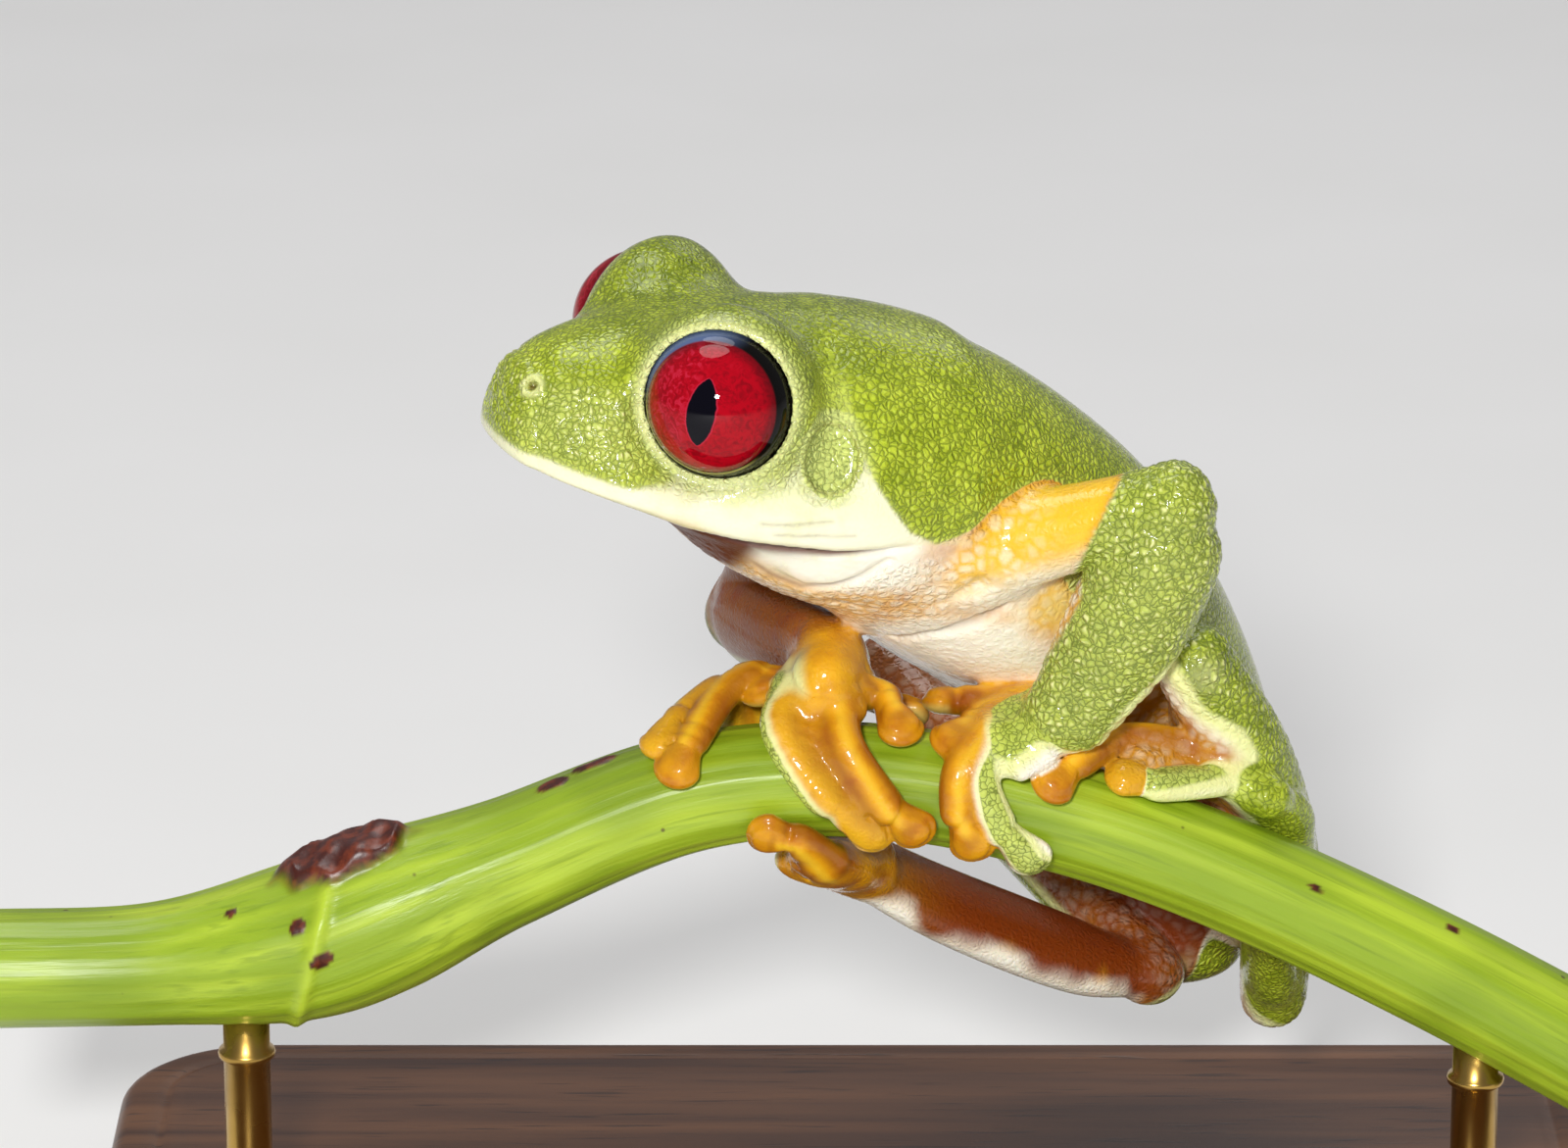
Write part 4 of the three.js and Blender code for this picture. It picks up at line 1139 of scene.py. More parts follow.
def skin_material(colours):
    """Living amphibian skin: a moist, finely beaded surface that lets a little light through."""
    material, tree, place = new_material("moist_beaded_frog_skin")
    mark = {name: add(tree, "ShaderNodeAttribute", out="Fac", attribute_name=name) for name in MARKS}

    # Beads are about 0.34 mm apart on the head and the paws and 0.40 mm on the body and the limbs. A warp
    # of about 0.1 mm draws them out; their walls are thin dark lines, partly painted shade in the grooves.
    # Single beads are tinted in cells of 0.46 mm, and the skin is mottled in patches 1.5 mm and 6 mm
    # across.
    warp = add(tree, NOISE, {"Vector": place, "Scale": 1000 / 0.5, "Detail": 1.0}, "Color")
    warp = add(tree, VECTOR, {0: warp, 1: (0.5, 0.5, 0.5)}, operation="SUBTRACT")
    warp = add(tree, VECTOR, {0: warp, "Scale": 0.0004}, operation="SCALE")
    warped = add(tree, VECTOR, {0: place, 1: warp}, operation="ADD")
    walls = [add(tree, CELLS, {"Vector": warped, "Scale": 1000 / pitch, "Randomness": 0.9},
                 feature="DISTANCE_TO_EDGE") for pitch in (0.34, 0.40)]
    wall = add(tree, MIX, {0: mark["coarse"], 2: walls[0], 3: walls[1]})
    tint = add(tree, CELLS, {"Vector": warped, "Scale": 1000 / 0.46, "Randomness": 0.9}, "Color")
    tint = add(tree, "ShaderNodeSeparateColor", {0: tint})
    bright = add(tree, RANGE, {0: tint, 1: 0.3, 2: 1.0, 4: 0.6})
    mottle = add(tree, NOISE, {"Vector": place, "Scale": 1000 / 1.5, "Detail": 3.0})
    broad = add(tree, NOISE, {"Vector": place, "Scale": 1000 / 6.0, "Detail": 2.0})
    # The markings' edges are ragged by up to 0.14 mm.
    ragged = add(tree, RANGE, {0: mottle, 1: 0.0, 2: 1.0, 3: -0.14, 4: 0.14})
    edge = {name: add(tree, MATHS, {0: mark[name], 1: ragged}, operation="ADD")
            for name in ("green", "orange", "violet")}

    # Each share grows softly from one amount to another as its source passes from low to high.
    share = {}
    for name, source, low, high, first, last in (
            ("bead", wall, 0.0, 0.4, 0.0, 1.0), ("groove", wall, 0.0, 0.14, 0.72, 0.0),
            ("bead_tips_and_sparkle", wall, 0.16, 0.32, 0.0, 0.9), ("green", edge["green"], -0.16, 0.16, 0.0, 1.0),
            ("fringe", edge["green"], -1.0, -0.25, 0.0, 1.0),
            ("orange", edge["orange"], -0.7, 0.7, 0.0, 1.0),
            ("violet", edge["violet"], -0.2, 0.2, 0.0, 1.0), ("pink", broad, 0.48, 0.8, 0.0, 1.0),
            ("deep", mottle, 0.4, 0.75, 0.0, 1.0), ("light", mottle, 0.35, 0.7, 0.0, 1.0)):
        share[name] = add(tree, RANGE, {0: source, 1: low, 2: high, 3: first, 4: last},
                          interpolation_type=SOFT)
    fringe = add(tree, MATHS, {0: share["fringe"], 1: mark["fringe"]}, operation="MULTIPLY")
    # White bead tips: the skin's own on the granules, and painted sparkle on the snout, shoulder, forearm
    # and knee.
    bead_tips_and_sparkle = add(tree, MATHS, {0: share["bead_tips_and_sparkle"], 1: mark["pebble"]}, operation="MULTIPLY")
    crown = add(tree, MATHS, {0: mark["pebble"], 1: 0.85}, operation="MULTIPLY")

    # The green's deep tone darkens where shade is painted, and its grooves hold partly painted shade.
    leaf = colours.green
    for amount, layer in (
            (share["light"], colours.green_yellow), (mark["shade"], colours.green_deep_and_shade),
            (bright, colours.green_yellow), (mark["pale"], colours.green_pale), (bead_tips_and_sparkle, colours.fringe),
            (share["groove"], colours.groove)):
        leaf = add(tree, MIX, {0: amount, 6: leaf, 7: layer}, 2, data_type="RGBA")
    # The orange browns where shade is painted and yellows on pale marks, which include the painted
    # highlights on the digits' ridges.
    amber = colours.orange
    for amount, layer in ((share["deep"], colours.orange_deep), (mark["shade"], colours.orange_brown_and_shade),
                          (mark["pale"], colours.orange_yellow)):
        amber = add(tree, MIX, {0: amount, 6: amber, 7: layer}, 2, data_type="RGBA")
    # Last the crease brown of the dark mark lays painted shade over the nostrils, the mouth, the folds and
    # the far arm.
    colour = colours.belly
    for amount, layer in (
            (share["pink"], colours.belly_pink), (share["orange"], amber), (crown, colours.belly),
            (fringe, colours.fringe), (share["violet"], colours.violet), (share["green"], leaf),
            (mark["cream"], colours.fringe), (mark["dark"], colours.crease)):
        colour = add(tree, MIX, {0: amount, 6: colour, 7: layer}, 2, data_type="RGBA")

    # Fine wrinkles 0.2 mm across lie between and over the beads. The beads' relief shades the skin;
    # the wet film over them is smoother, and is thin where the dark mark paints shade.
    height = add(tree, MATHS, {0: share["bead"], 1: mark["grain"]}, operation="MULTIPLY")
    fine = add(tree, NOISE, {"Vector": place, "Scale": 1000 / 0.2, "Detail": 2.0})
    rough = add(tree, RANGE, {0: fine, 1: 0.3, 2: 0.7, 3: 0.36, 4: 0.5})
    wet = add(tree, RANGE, {0: mark["dark"], 3: 1.0, 4: 0.1})
    soft = add(tree, BUMP, {"Height": fine, "Strength": 0.3, "Distance": 0.00002})
    relief, film = (add(tree, BUMP, {"Height": height, "Strength": 1.0, "Distance": rise, "Normal": soft})
                    for rise in (0.00012, 0.00002))
    surface = add(tree, "ShaderNodeBsdfPrincipled", {
        "Base Color": colour, "Roughness": rough, "IOR": 1.4, "Normal": relief, "Specular IOR Level": 0.2,
        "Subsurface Weight": 0.12, "Subsurface Radius": (1.0, 0.55, 0.2), "Subsurface Scale": 0.0005,
        "Coat Weight": wet, "Coat Roughness": 0.11, "Coat IOR": 1.34, "Coat Normal": film})
    add(tree, "ShaderNodeOutputMaterial", {"Surface": surface})
    return material


def eye_material(colours, sizes, side):
    """A wet cornea over a red iris: mirror-smooth gloss above a fine lacework of pigment."""
    material, tree, place = new_material("wet_cornea_over_iris_" + side)
    scaled = add(tree, VECTOR, {0: place, "Scale": 1000.0}, operation="SCALE")
    across = add(tree, "ShaderNodeSeparateXYZ", {0: scaled})
    along = across.node.outputs[1]
    square = add(tree, MATHS, {0: across, 1: across}, operation="MULTIPLY")
    square = add(tree, MATHS, {0: along, 1: along, 2: square}, operation="MULTIPLY_ADD")
    radius = add(tree, MATHS, {0: square}, operation="SQRT")
    # Toward the ear the coordinate across falls on the left eye and grows on the right one.
    rearward = add(tree, MATHS, {0: across, 1: -1.0 if side == "left" else 1.0}, operation="MULTIPLY")

    # Lacework threads 0.45 mm apart, in clouds 2 mm across that gather at the rear of the iris.
    lace = add(tree, NOISE, {"Vector": place, "Scale": 1000 / 0.45, "Detail": 5.0, "Distortion": 1.6})
    clouds = add(tree, NOISE, {"Vector": place, "Scale": 1000 / 2.0, "Detail": 2.0})
    rear = add(tree, MATHS, {0: rearward, 1: 0.16, 2: clouds}, operation="MULTIPLY_ADD")
    rear = add(tree, MATHS, {0: along, 1: 0.03, 2: rear}, operation="MULTIPLY_ADD")
    low = add(tree, MATHS, {0: rearward, 1: -0.35, 2: along}, operation="MULTIPLY_ADD")
    above = add(tree, MATHS, {0: rearward, 1: 0.9, 2: along}, operation="MULTIPLY_ADD")

    # The slit is a tall lens, a little fuller than an ellipse towards its ends, with a wavy edge.
    full = add(tree, MATHS, {0: along, 1: sizes.pupil_height}, operation="DIVIDE")
    full = add(tree, MATHS, {0: full, 1: full}, operation="MULTIPLY")
    full = add(tree, MATHS, {0: 1.0, 1: full}, operation="SUBTRACT", use_clamp=True)
    full = add(tree, MATHS, {0: full, 1: 0.62}, operation="POWER")
    width = add(tree, MATHS, {0: full, 1: sizes.pupil_width + 0.12, 2: -0.12}, operation="MULTIPLY_ADD")
    wavy = add(tree, RANGE, {0: lace, 3: -0.06, 4: 0.06})
    width = add(tree, MATHS, {0: width, 1: wavy}, operation="ADD")
    from_middle = add(tree, MATHS, {0: across}, operation="ABSOLUTE")
    slit = add(tree, MATHS, {0: width, 1: from_middle}, operation="SUBTRACT")

    # As above, with radius, low, above and slit in mm.
    share = {}
    iris = sizes.iris_radius
    for name, source, start, end, first, last in (
            ("depth", lace, 0.3, 0.6, 0.5, 0.0), ("threads", lace, 0.5, 0.66, 0.0, 0.75),
            ("rear", rear, 0.5, 0.8, 0.0, 1.0), ("edge", radius, iris - 0.5, iris, 0.0, 0.7),
            ("rim", radius, iris - 0.04, iris + 0.06, 0.0, 1.0), ("line", low, -2.2, -0.8, 1.0, 0.0),
            ("inner", radius, iris + 0.04, iris + 0.1, 0.0, 1.0),
            ("outer", radius, iris + 0.14, iris + 0.22, 1.0, 0.0), ("above", above, 2.2, 4.6, 0.0, 0.9),
            ("halo", slit, -0.12, -0.05, 0.0, 0.8), ("pupil", slit, -0.05, 0.02, 0.0, 1.0)):
        share[name] = add(tree, RANGE, {0: source, 1: start, 2: end, 3: first, 4: last},
                          interpolation_type=SOFT)
    threads = add(tree, MATHS, {0: share["threads"], 1: share["rear"]}, operation="MULTIPLY")
    line = add(tree, MATHS, {0: share["line"], 1: share["inner"]}, operation="MULTIPLY")
    line = add(tree, MATHS, {0: line, 1: share["outer"]}, operation="MULTIPLY")
    # The dark ring round the iris carries a painted reflection, a bluish sheen, on its upper rear part.
    ring = add(tree, MIX, {0: share["above"], 6: colours.eye_rim, 7: colours.eye_rim_painted_sheen}, 2,
               data_type="RGBA")
    colour = colours.iris
    for amount, layer in (
            (share["depth"], colours.iris_deep), (threads, colours.iris_light),
            (share["edge"], colours.iris_deep), (share["rim"], ring), (line, colours.gold),
            (share["halo"], colours.iris_light), (share["pupil"], colours.pupil)):
        colour = add(tree, MIX, {0: amount, 6: colour, 7: layer}, 2, data_type="RGBA")
    bump = add(tree, BUMP, {"Height": lace, "Strength": 0.4, "Distance": 0.00002})
    surface = add(tree, "ShaderNodeBsdfPrincipled", {
        "Base Color": colour, "Roughness": 0.3, "IOR": 1.38, "Normal": bump, "Specular IOR Level": 0.0,
        "Coat Weight": 0.8, "Coat Roughness": 0.015, "Coat IOR": 1.34})
    add(tree, "ShaderNodeOutputMaterial", {"Surface": surface})
    return material


def stem_material(colours):
    """A green plant stem: a waxy, streaked rind with fine lengthwise fibres and corky scars."""
    material, tree, place = new_material("waxy_green_stem_rind")
    mark = {name: add(tree, "ShaderNodeAttribute", out="Fac", attribute_name=name)
            for name in ("scar", "node", "cut", "level")}

    # Fibres 0.35 mm and streaks 1.4 mm across, 20 times as long, follow the stem: "level" is the height
    # above its axis. Dull patches are 9 mm across, specks about 0.3 mm wide and 3.2 mm apart.
    apart = add(tree, "ShaderNodeSeparateXYZ", {0: place})
    along = add(tree, MATHS, {0: apart, 1: 0.05}, operation="MULTIPLY")
    stretch = add(tree, "ShaderNodeCombineXYZ", {0: along, 1: apart.node.outputs[1], 2: mark["level"]})
    fibres = add(tree, NOISE, {"Vector": stretch, "Scale": 1000 / 0.35, "Detail": 3.0})
    streaks = add(tree, NOISE, {"Vector": stretch, "Scale": 1000 / 1.4, "Detail": 2.0})
    patches = add(tree, NOISE, {"Vector": place, "Scale": 1000 / 9.0, "Detail": 1.0})
    specks = add(tree, CELLS, {"Vector": place, "Scale": 1000 / 3.2})
    crust = add(tree, NOISE, {"Vector": place, "Scale": 1000 / 0.7, "Detail": 4.0})
    share = {}
    for name, source, low, high, first, last in (
            ("light", streaks, 0.4, 0.68, 0.0, 0.9), ("dull", patches, 0.42, 0.65, 0.0, 0.5),
            ("fibre", fibres, 0.5, 0.72, 0.0, 0.55), ("speck", specks, 0.03, 0.06, 0.75, 0.0),
            ("bark", crust, 0.4, 0.65, 0.0, 1.0)):
        share[name] = add(tree, RANGE, {0: source, 1: low, 2: high, 3: first, 4: last},
                          interpolation_type=SOFT)
    scar = add(tree, MIX, {0: share["bark"], 6: colours.stem_scar, 7: colours.stem_scar_light}, 2,
               data_type="RGBA")
    colour = colours.stem
    for amount, layer in (
            (share["light"], colours.stem_light), (share["dull"], colours.stem_deep),
            (share["fibre"], colours.stem_deep), (mark["node"], colours.stem_light),
            (share["speck"], colours.stem_scar), (mark["scar"], scar), (mark["cut"], colours.stem_pith)):
        colour = add(tree, MIX, {0: amount, 6: colour, 7: layer}, 2, data_type="RGBA")
    grain = add(tree, MIX, {0: mark["scar"], 2: fibres, 3: crust})
    bump = add(tree, BUMP, {"Height": grain, "Strength": 0.7, "Distance": 0.00007})
    surface = add(tree, "ShaderNodeBsdfPrincipled", {
        "Base Color": colour, "Roughness": 0.42, "IOR": 1.45, "Normal": bump,
        "Subsurface Weight": 0.12, "Subsurface Radius": (0.6, 1.0, 0.2), "Subsurface Scale": 0.0005,
        "Coat Weight": 0.25, "Coat Roughness": 0.3, "Coat Normal": bump})
    add(tree, "ShaderNodeOutputMaterial", {"Surface": surface})
    return material


def walnut_material(colours):
    """Oiled walnut: dark open grain along the base's length, with a low satin gloss."""
    material, tree, place = new_material("oiled_walnut_planed")
    # Growth rings about 3 mm apart and pores 0.35 mm wide, both drawn out 17 times along the length.
    stretch = add(tree, "ShaderNodeMapping", {"Vector": place, "Scale": (0.06, 1.0, 1.0)})
    grain = add(tree, NOISE, {"Vector": stretch, "Scale": 1000 / 3.0, "Detail": 6.0, "Distortion": 0.6})
    pores = add(tree, NOISE, {"Vector": stretch, "Scale": 1000 / 0.35, "Detail": 2.0})
    share = add(tree, RANGE, {0: grain, 1: 0.35, 2: 0.65})
    pore = add(tree, RANGE, {0: pores, 1: 0.6, 2: 0.72, 4: 0.7})
    colour = colours.walnut
    for amount, layer in ((share, colours.walnut_dark), (pore, colours.walnut_pore)):
        colour = add(tree, MIX, {0: amount, 6: colour, 7: layer}, 2, data_type="RGBA")
    bump = add(tree, BUMP, {"Height": pore, "Strength": 0.4, "Distance": -0.00004})
    surface = add(tree, "ShaderNodeBsdfPrincipled", {
        "Base Color": colour, "Roughness": 0.4, "IOR": 1.5, "Normal": bump,
        "Coat Weight": 0.15, "Coat Roughness": 0.25})
    add(tree, "ShaderNodeOutputMaterial", {"Surface": surface})
    return material


def brass_material(colours):
    """Turned and lacquered brass: warm metal with faint turning rings."""
    material, tree, place = new_material("turned_lacquered_brass")
    # Turning rings are 1.9 mm apart, since a wave repeats every pi / 10 of its 6 mm scale, and the metal
    # is clouded in patches 4 mm across.
    rings = add(tree, "ShaderNodeTexWave", {"Vector": place, "Scale": 1000 / 6.0, "Distortion": 0.4}, 1,
                bands_direction="Z")
    cloud = add(tree, NOISE, {"Vector": place, "Scale": 1000 / 4.0})
    rough = add(tree, RANGE, {0: cloud, 1: 0.3, 2: 0.7, 3: 0.2, 4: 0.34})
    colour = add(tree, MIX, {0: cloud, 6: colours.brass, 7: colours.brass_dull}, 2, data_type="RGBA")
    bump = add(tree, BUMP, {"Height": rings, "Strength": 0.15, "Distance": 0.00002})
    surface = add(tree, "ShaderNodeBsdfPrincipled", {
        "Base Color": colour, "Metallic": 1.0, "Roughness": rough, "Normal": bump})
    add(tree, "ShaderNodeOutputMaterial", {"Surface": surface})
    return material


def floor_material(colours):
    """Matt painted board, pale and even, so that it only carries the shadow."""
    material, tree, place = new_material("matt_painted_board")
    # Faint clouds 33 mm across.
    cloud = add(tree, NOISE, {"Vector": place, "Scale": 30.0, "Detail": 2.0})
    colour = add(tree, MIX, {0: cloud, 6: colours.floor, 7: colours.floor_shade}, 2, data_type="RGBA")
    surface = add(tree, "ShaderNodeBsdfPrincipled", {"Base Color": colour, "Roughness": 0.85})
    add(tree, "ShaderNodeOutputMaterial", {"Surface": surface})
    return material


# ------------------------------------------------------------------ settings
def colour_setting(name, description, default):
    return bpy.props.FloatVectorProperty(name=name, description=description, subtype="COLOR", size=4,
                                         min=0.0, max=1.0, default=linear(default))


def size_setting(name, description, default, low, high):
    return bpy.props.FloatProperty(name=name, description=description + ", in mm", default=default,
                                   min=low, max=high)


class FrogColours(bpy.types.PropertyGroup):
    """Colours of the skin, the eyes, the stem and the stand."""

    green: colour_setting("Leaf green", "Main green of the back and limbs", "#a2b31f")
    green_yellow: colour_setting("Yellow green", "Lighter beads in the green", "#c4d33a")
    # Partly painted shade: darkens the top of the head, the rear of the back, the near elbow and the knee.
    green_deep_and_shade: colour_setting("Deep green", "Top of the head and lower back", "#5f7010")
    green_pale: colour_setting("Pale green", "Round the eyes and on the eardrum", "#dde592")
    # Partly painted shade in the grooves between the beads.
    groove: colour_setting("Groove green", "Between the beads of the green skin", "#47560f")
    fringe: colour_setting("Cream fringe", "Pale line along the edge of the green", "#e9eba0")
    belly: colour_setting("Belly white", "Throat, lip and belly", "#f6f1de")
    belly_pink: colour_setting("Belly pink", "Flushed parts of the belly", "#f5e1c4")
    orange: colour_setting("Orange", "Fingers, toes and inner limbs", "#e3a00c")
    # Mostly painted shade: browns the flanks of the digits, the sides of the right hand, the far arm, the
    # right hind leg, the thighs and the vent.
    orange_brown_and_shade: colour_setting("Brown orange", "Flanks of the fingers and the folded hind leg", "#7e340a")
    orange_yellow: colour_setting("Yellow orange", "Upper arms", "#f3c52f")
    orange_deep: colour_setting("Deep orange", "Shaded parts of the fingers and toes", "#c27409")
    violet: colour_setting("Flank violet", "Patches on the flanks", "#3d4a86")
    # Painted shade in the nostrils, the mouth's gap and the jaw below it, the folds and creases and over
    # the far arm; it also draws the line round each eardrum.
    crease: colour_setting("Crease brown", "Nostrils and the mouth line", "#541606")
    iris: colour_setting("Iris red", "Main red of the iris", "#a60216")
    iris_deep: colour_setting("Iris deep red", "Edge of the iris", "#50020b")
    iris_light: colour_setting("Iris light red", "Lacework in the iris", "#b9233c")
    pupil: colour_setting("Pupil", "The slit pupil", "#04030c")
    eye_rim: colour_setting("Eye rim", "Dark ring round the iris", "#080706")
    # Painted reflection: a bluish sheen on the upper part of the dark ring.
    eye_rim_painted_sheen: colour_setting("Eye rim blue", "Upper part of the dark ring", "#56678c")
    gold: colour_setting("Eye gold", "Fine line under the iris", "#8f8a44")
    stem: colour_setting("Stem green", "Rind of the stem", "#8fa91c")
    stem_light: colour_setting("Stem light green", "Pale streaks of the stem", "#b4ca34")
    stem_deep: colour_setting("Stem deep green", "Fibres of the stem", "#6f8a12")
    stem_scar: colour_setting("Stem scar", "Corky brown marks", "#421204")
    stem_scar_light: colour_setting("Stem scar light", "Raised crust of the scar", "#6e2c12")
    stem_pith: colour_setting("Stem pith", "Cut ends of the stem", "#dfe2a8")
    walnut: colour_setting("Walnut", "Main brown of the base", "#6a452a")
    walnut_dark: colour_setting("Dark walnut", "Dark grain of the base", "#452917")
    walnut_pore: colour_setting("Walnut pore", "Open pores of the base", "#1c100a")
    brass: colour_setting("Brass", "Rods of the stand", "#d0ab5c")
    brass_dull: colour_setting("Dull brass", "Clouded places on the rods", "#a58240")
    floor: colour_setting("Floor", "The studio floor", "#f2f1ef")
    floor_shade: colour_setting("Floor shade", "Faint clouding of the studio floor", "#ecebe8")


class FrogSizes(bpy.types.PropertyGroup):
    """Sizes of the fine shaping, in millimetres."""

    jaw_set_back: size_setting("Jaw set-back", "How far the lower jaw lies behind the lip", 0.75, 0.0, 1.5)
    lip_groove: size_setting("Lip groove", "Depth of the mouth line", 0.3, 0.0, 1.0)
    lid_thickness: size_setting("Lid thickness", "Thickness of the lids over the eyeballs", 0.4, 0.2, 0.8)
    lid_rim: size_setting("Lid rim", "Radius of the rounded edge of the lids", 0.3, 0.15, 0.5)
    iris_radius: size_setting("Iris radius", "Radius of the red iris", 3.4, 2.0, 3.8)
    pupil_width: size_setting("Pupil half width", "Half width of the slit pupil", 0.74, 0.2, 2.0)
    pupil_height: size_setting("Pupil half height", "Half height of the slit pupil", 1.82, 0.5, 3.0)
    pebble_height: size_setting("Pebble height", "Height of the granules under the body", 0.09, 0.0, 0.3)
    key_power: bpy.props.FloatProperty(name="Front light", description="Power of the front light",
                                       default=2.0, min=0.0, max=50.0, unit="POWER")


# ------------------------------------------------------------------ operators
class TREEFROG_OT_skin(bpy.types.Operator):
    """Grows the frog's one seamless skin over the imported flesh"""

    bl_idname = "treefrog.skin"
    bl_label = "Skin"

    def execute(self, context):
        sizes = context.scene.treefrog_sizes
        flesh = grow_flesh()
        shape_eyes(flesh, sizes)
        shape_mouth(flesh, sizes)
        shape_head(flesh)
        stretch_web(flesh)
        shape_paws(flesh)
        trim_to_stem(flesh)
        points, quads = flesh.mesh()
        if len(points) < 10000:
            raise RuntimeError("the skin came out empty")
        points = relax(points, quads)
        marks = paint_skin(flesh, points)
        # The granules under the body are relief in the mesh, but fade out where the skin meets the stem.
        marks["pebble"] = pebbles(points, GRANULE_PITCH) * marks["pebble"]
        rise = sizes.pebble_height * marks["pebble"]
        clear = smoothstep(0.3, 0.8, stem_distance(*points.T))
        points = points + vertex_normals(points, quads) * rise[:, None] * clear[:, None]
        skin = make_mesh("skin", points, [quads])
        store(skin, marks)
        skin.data.materials.append(skin_material(context.scene.treefrog_colours))
        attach(skin, "root")
        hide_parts(*FLESH_NODES)
        return {"FINISHED"}


class TREEFROG_OT_eyes(bpy.types.Operator):
    """Makes both eyeballs, each with its bulging cornea, iris and slit pupil"""

    bl_idname = "treefrog.eyes"
    bl_label = "Eyes"

    def execute(self, context):
        colours, sizes = context.scene.treefrog_colours, context.scene.treefrog_sizes
        # The cornea bulges a little inside the faint groove round the iris.
        radius, bulge, groove, sides = EYE["radius"], 0.09, 0.04, 160
        edge = math.asin(sizes.iris_radius / radius)
        turns = np.linspace(0, math.pi, 98)[1:-1]
        radii = radius + bulge * (1 - smoothstep(0, edge, turns)) - groove * bell(turns - edge, 0.06)
        around = np.linspace(0, 2 * math.pi, sides, endpoint=False)
        out, up = np.sin(turns)[:, None], np.repeat(np.cos(turns)[:, None], sides, 1)
        ring = np.stack([out * np.cos(around), out * np.sin(around), up], -1) * radii[:, None, None]
        points = np.vstack([ring.reshape(-1, 3), [0, 0, radius + bulge], [0, 0, -radius]])
        for name, side in SIDES:
            centre, axes = eye_frame(side, EYE["forward"] + EYE["gaze"])
            eye = make_mesh("eyeball_" + name, points - LIFT, tube_faces(len(turns), sides))
            turn = Matrix(axes.T.tolist()).to_4x4()
            eye.matrix_world = Matrix.Translation(Vector((centre + LIFT) * MM)) @ turn
            eye.data.materials.append(eye_material(colours, sizes, name))
            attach(eye, "root")
            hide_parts("eye_" + name)
        return {"FINISHED"}


# Scars on the stem: [x, degrees round from the top towards -Y, half length, half width, height].
SCARS = [(-27.6, 12, 3.9, 2.0, 0.9), (-16.4, 12, 0.9, 0.5, 0.12), (-14.3, 4, 1.3, 0.5, 0.15),
         (-29.9, 60, 0.5, 0.5, 0.08), (-28.6, 88, 0.7, 0.45, 0.08), (-33.5, 35, 0.35, 0.3, 0.05),
         (24.0, 48, 0.35, 0.25, 0.05), (31.5, 20, 0.4, 0.25, 0.05), (-40.0, -40, 0.6, 0.4, 0.1),
         (8.0, 170, 0.7, 0.4, 0.1), (20.0, -120, 0.8, 0.4, 0.1)]


class TREEFROG_OT_perch(bpy.types.Operator):
    """Makes the cut length of green stem with its leaf node, scars and ribs"""

    bl_idname = "treefrog.perch"
    bl_label = "Perch stem"

    def execute(self, context):
        stations = [([x, 0, z], [0, 0, 1], [r, r]) for x, z, r in STEM]
        tube = Loft(stations, 560, 128, domes=(0.04, 0.04), caps=10)
        x, y, z = tube.points.T
        height, radius = stem_at(x)
        away = np.hypot(y, z - height)
        turn = np.degrees(np.arctan2(-y, z - height))
        out = unit(np.stack([0 * x, y, z - height], 1))
        # Low ribs run along the rind, and the scars are crusty and ragged.
        crust = 0.5 + 0.25 * np.sin(x * 3.1 + turn / 9) + 0.25 * np.sin(x * 1.9 - turn / 6)
        scar = np.zeros(len(x))
        rise = 0.05 * np.sin(np.radians(turn * 7 + x * 2)) + 0.03 * np.sin(np.radians(turn * 17 - x * 3))
        for at, degrees, half_length, half_width, lift in SCARS:
            round_off = np.radians((turn - degrees + 180) % 360 - 180) * radius
            reach = np.hypot((x - at) / half_length, round_off / half_width) + 0.2 * (crust - 0.5)
            rise += lift * (1 - smoothstep(0.75, 1.0, reach)) * (0.55 + 0.45 * crust)
            scar = np.maximum(scar, 1 - smoothstep(0.85, 1.05, reach))
        # The sheath's ring round the leaf node leans with the stem.
        ring = bell(x + 29.2 - 0.25 * (z - height), 0.45)
        rise += 0.28 * ring * smoothstep(20, 60, np.abs(turn))
        side = smoothstep(0.5, 0.9, away / radius)
        points = tube.points + out * (rise * side)[:, None]
        stem = make_mesh("stem", points, [tube.quads, tube.tris])
        ends = (x < STEM[0][0] + 0.3) | (x > STEM[-1][0] - 0.3)
        store(stem, {"scar": scar * side, "node": 0.8 * ring, "level": (points[:, 2] - height) * MM,
                     "cut": ends * (1 - smoothstep(0.86, 0.94, away / radius))})
        stem.data.materials.append(stem_material(context.scene.treefrog_colours))
        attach(stem, "root")
        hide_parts("perch_stem")
        return {"FINISHED"}


def base_ring(inset, z):
    """The base's outline at height z, set in by inset mm: four quarter turns joined by straight sides."""
    length, depth, corner = BASE["length"] / 2, BASE["depth"] / 2, BASE["corner"]
    radius = corner - inset
    return [(x * (length - corner) + radius * math.cos(a), y * (depth - corner) + radius * math.sin(a), z)
            for number, (x, y) in enumerate(((1, 1), (-1, 1), (-1, -1), (1, -1)))
            for a in np.radians(np.linspace(0, 90, 25) + 90 * number)]


def stack(name, rings):
    """A closed mesh through level rings of points, from the bottom one to the top one."""
    rows, sides = len(rings), len(rings[0])
    quads = tube_faces(rows, sides)[0][:, [0, 3, 2, 1]]
    k = np.arange(sides)
    return make_mesh(name, np.vstack(rings), [quads, np.stack([k[::-1], (rows - 1) * sides + k])])


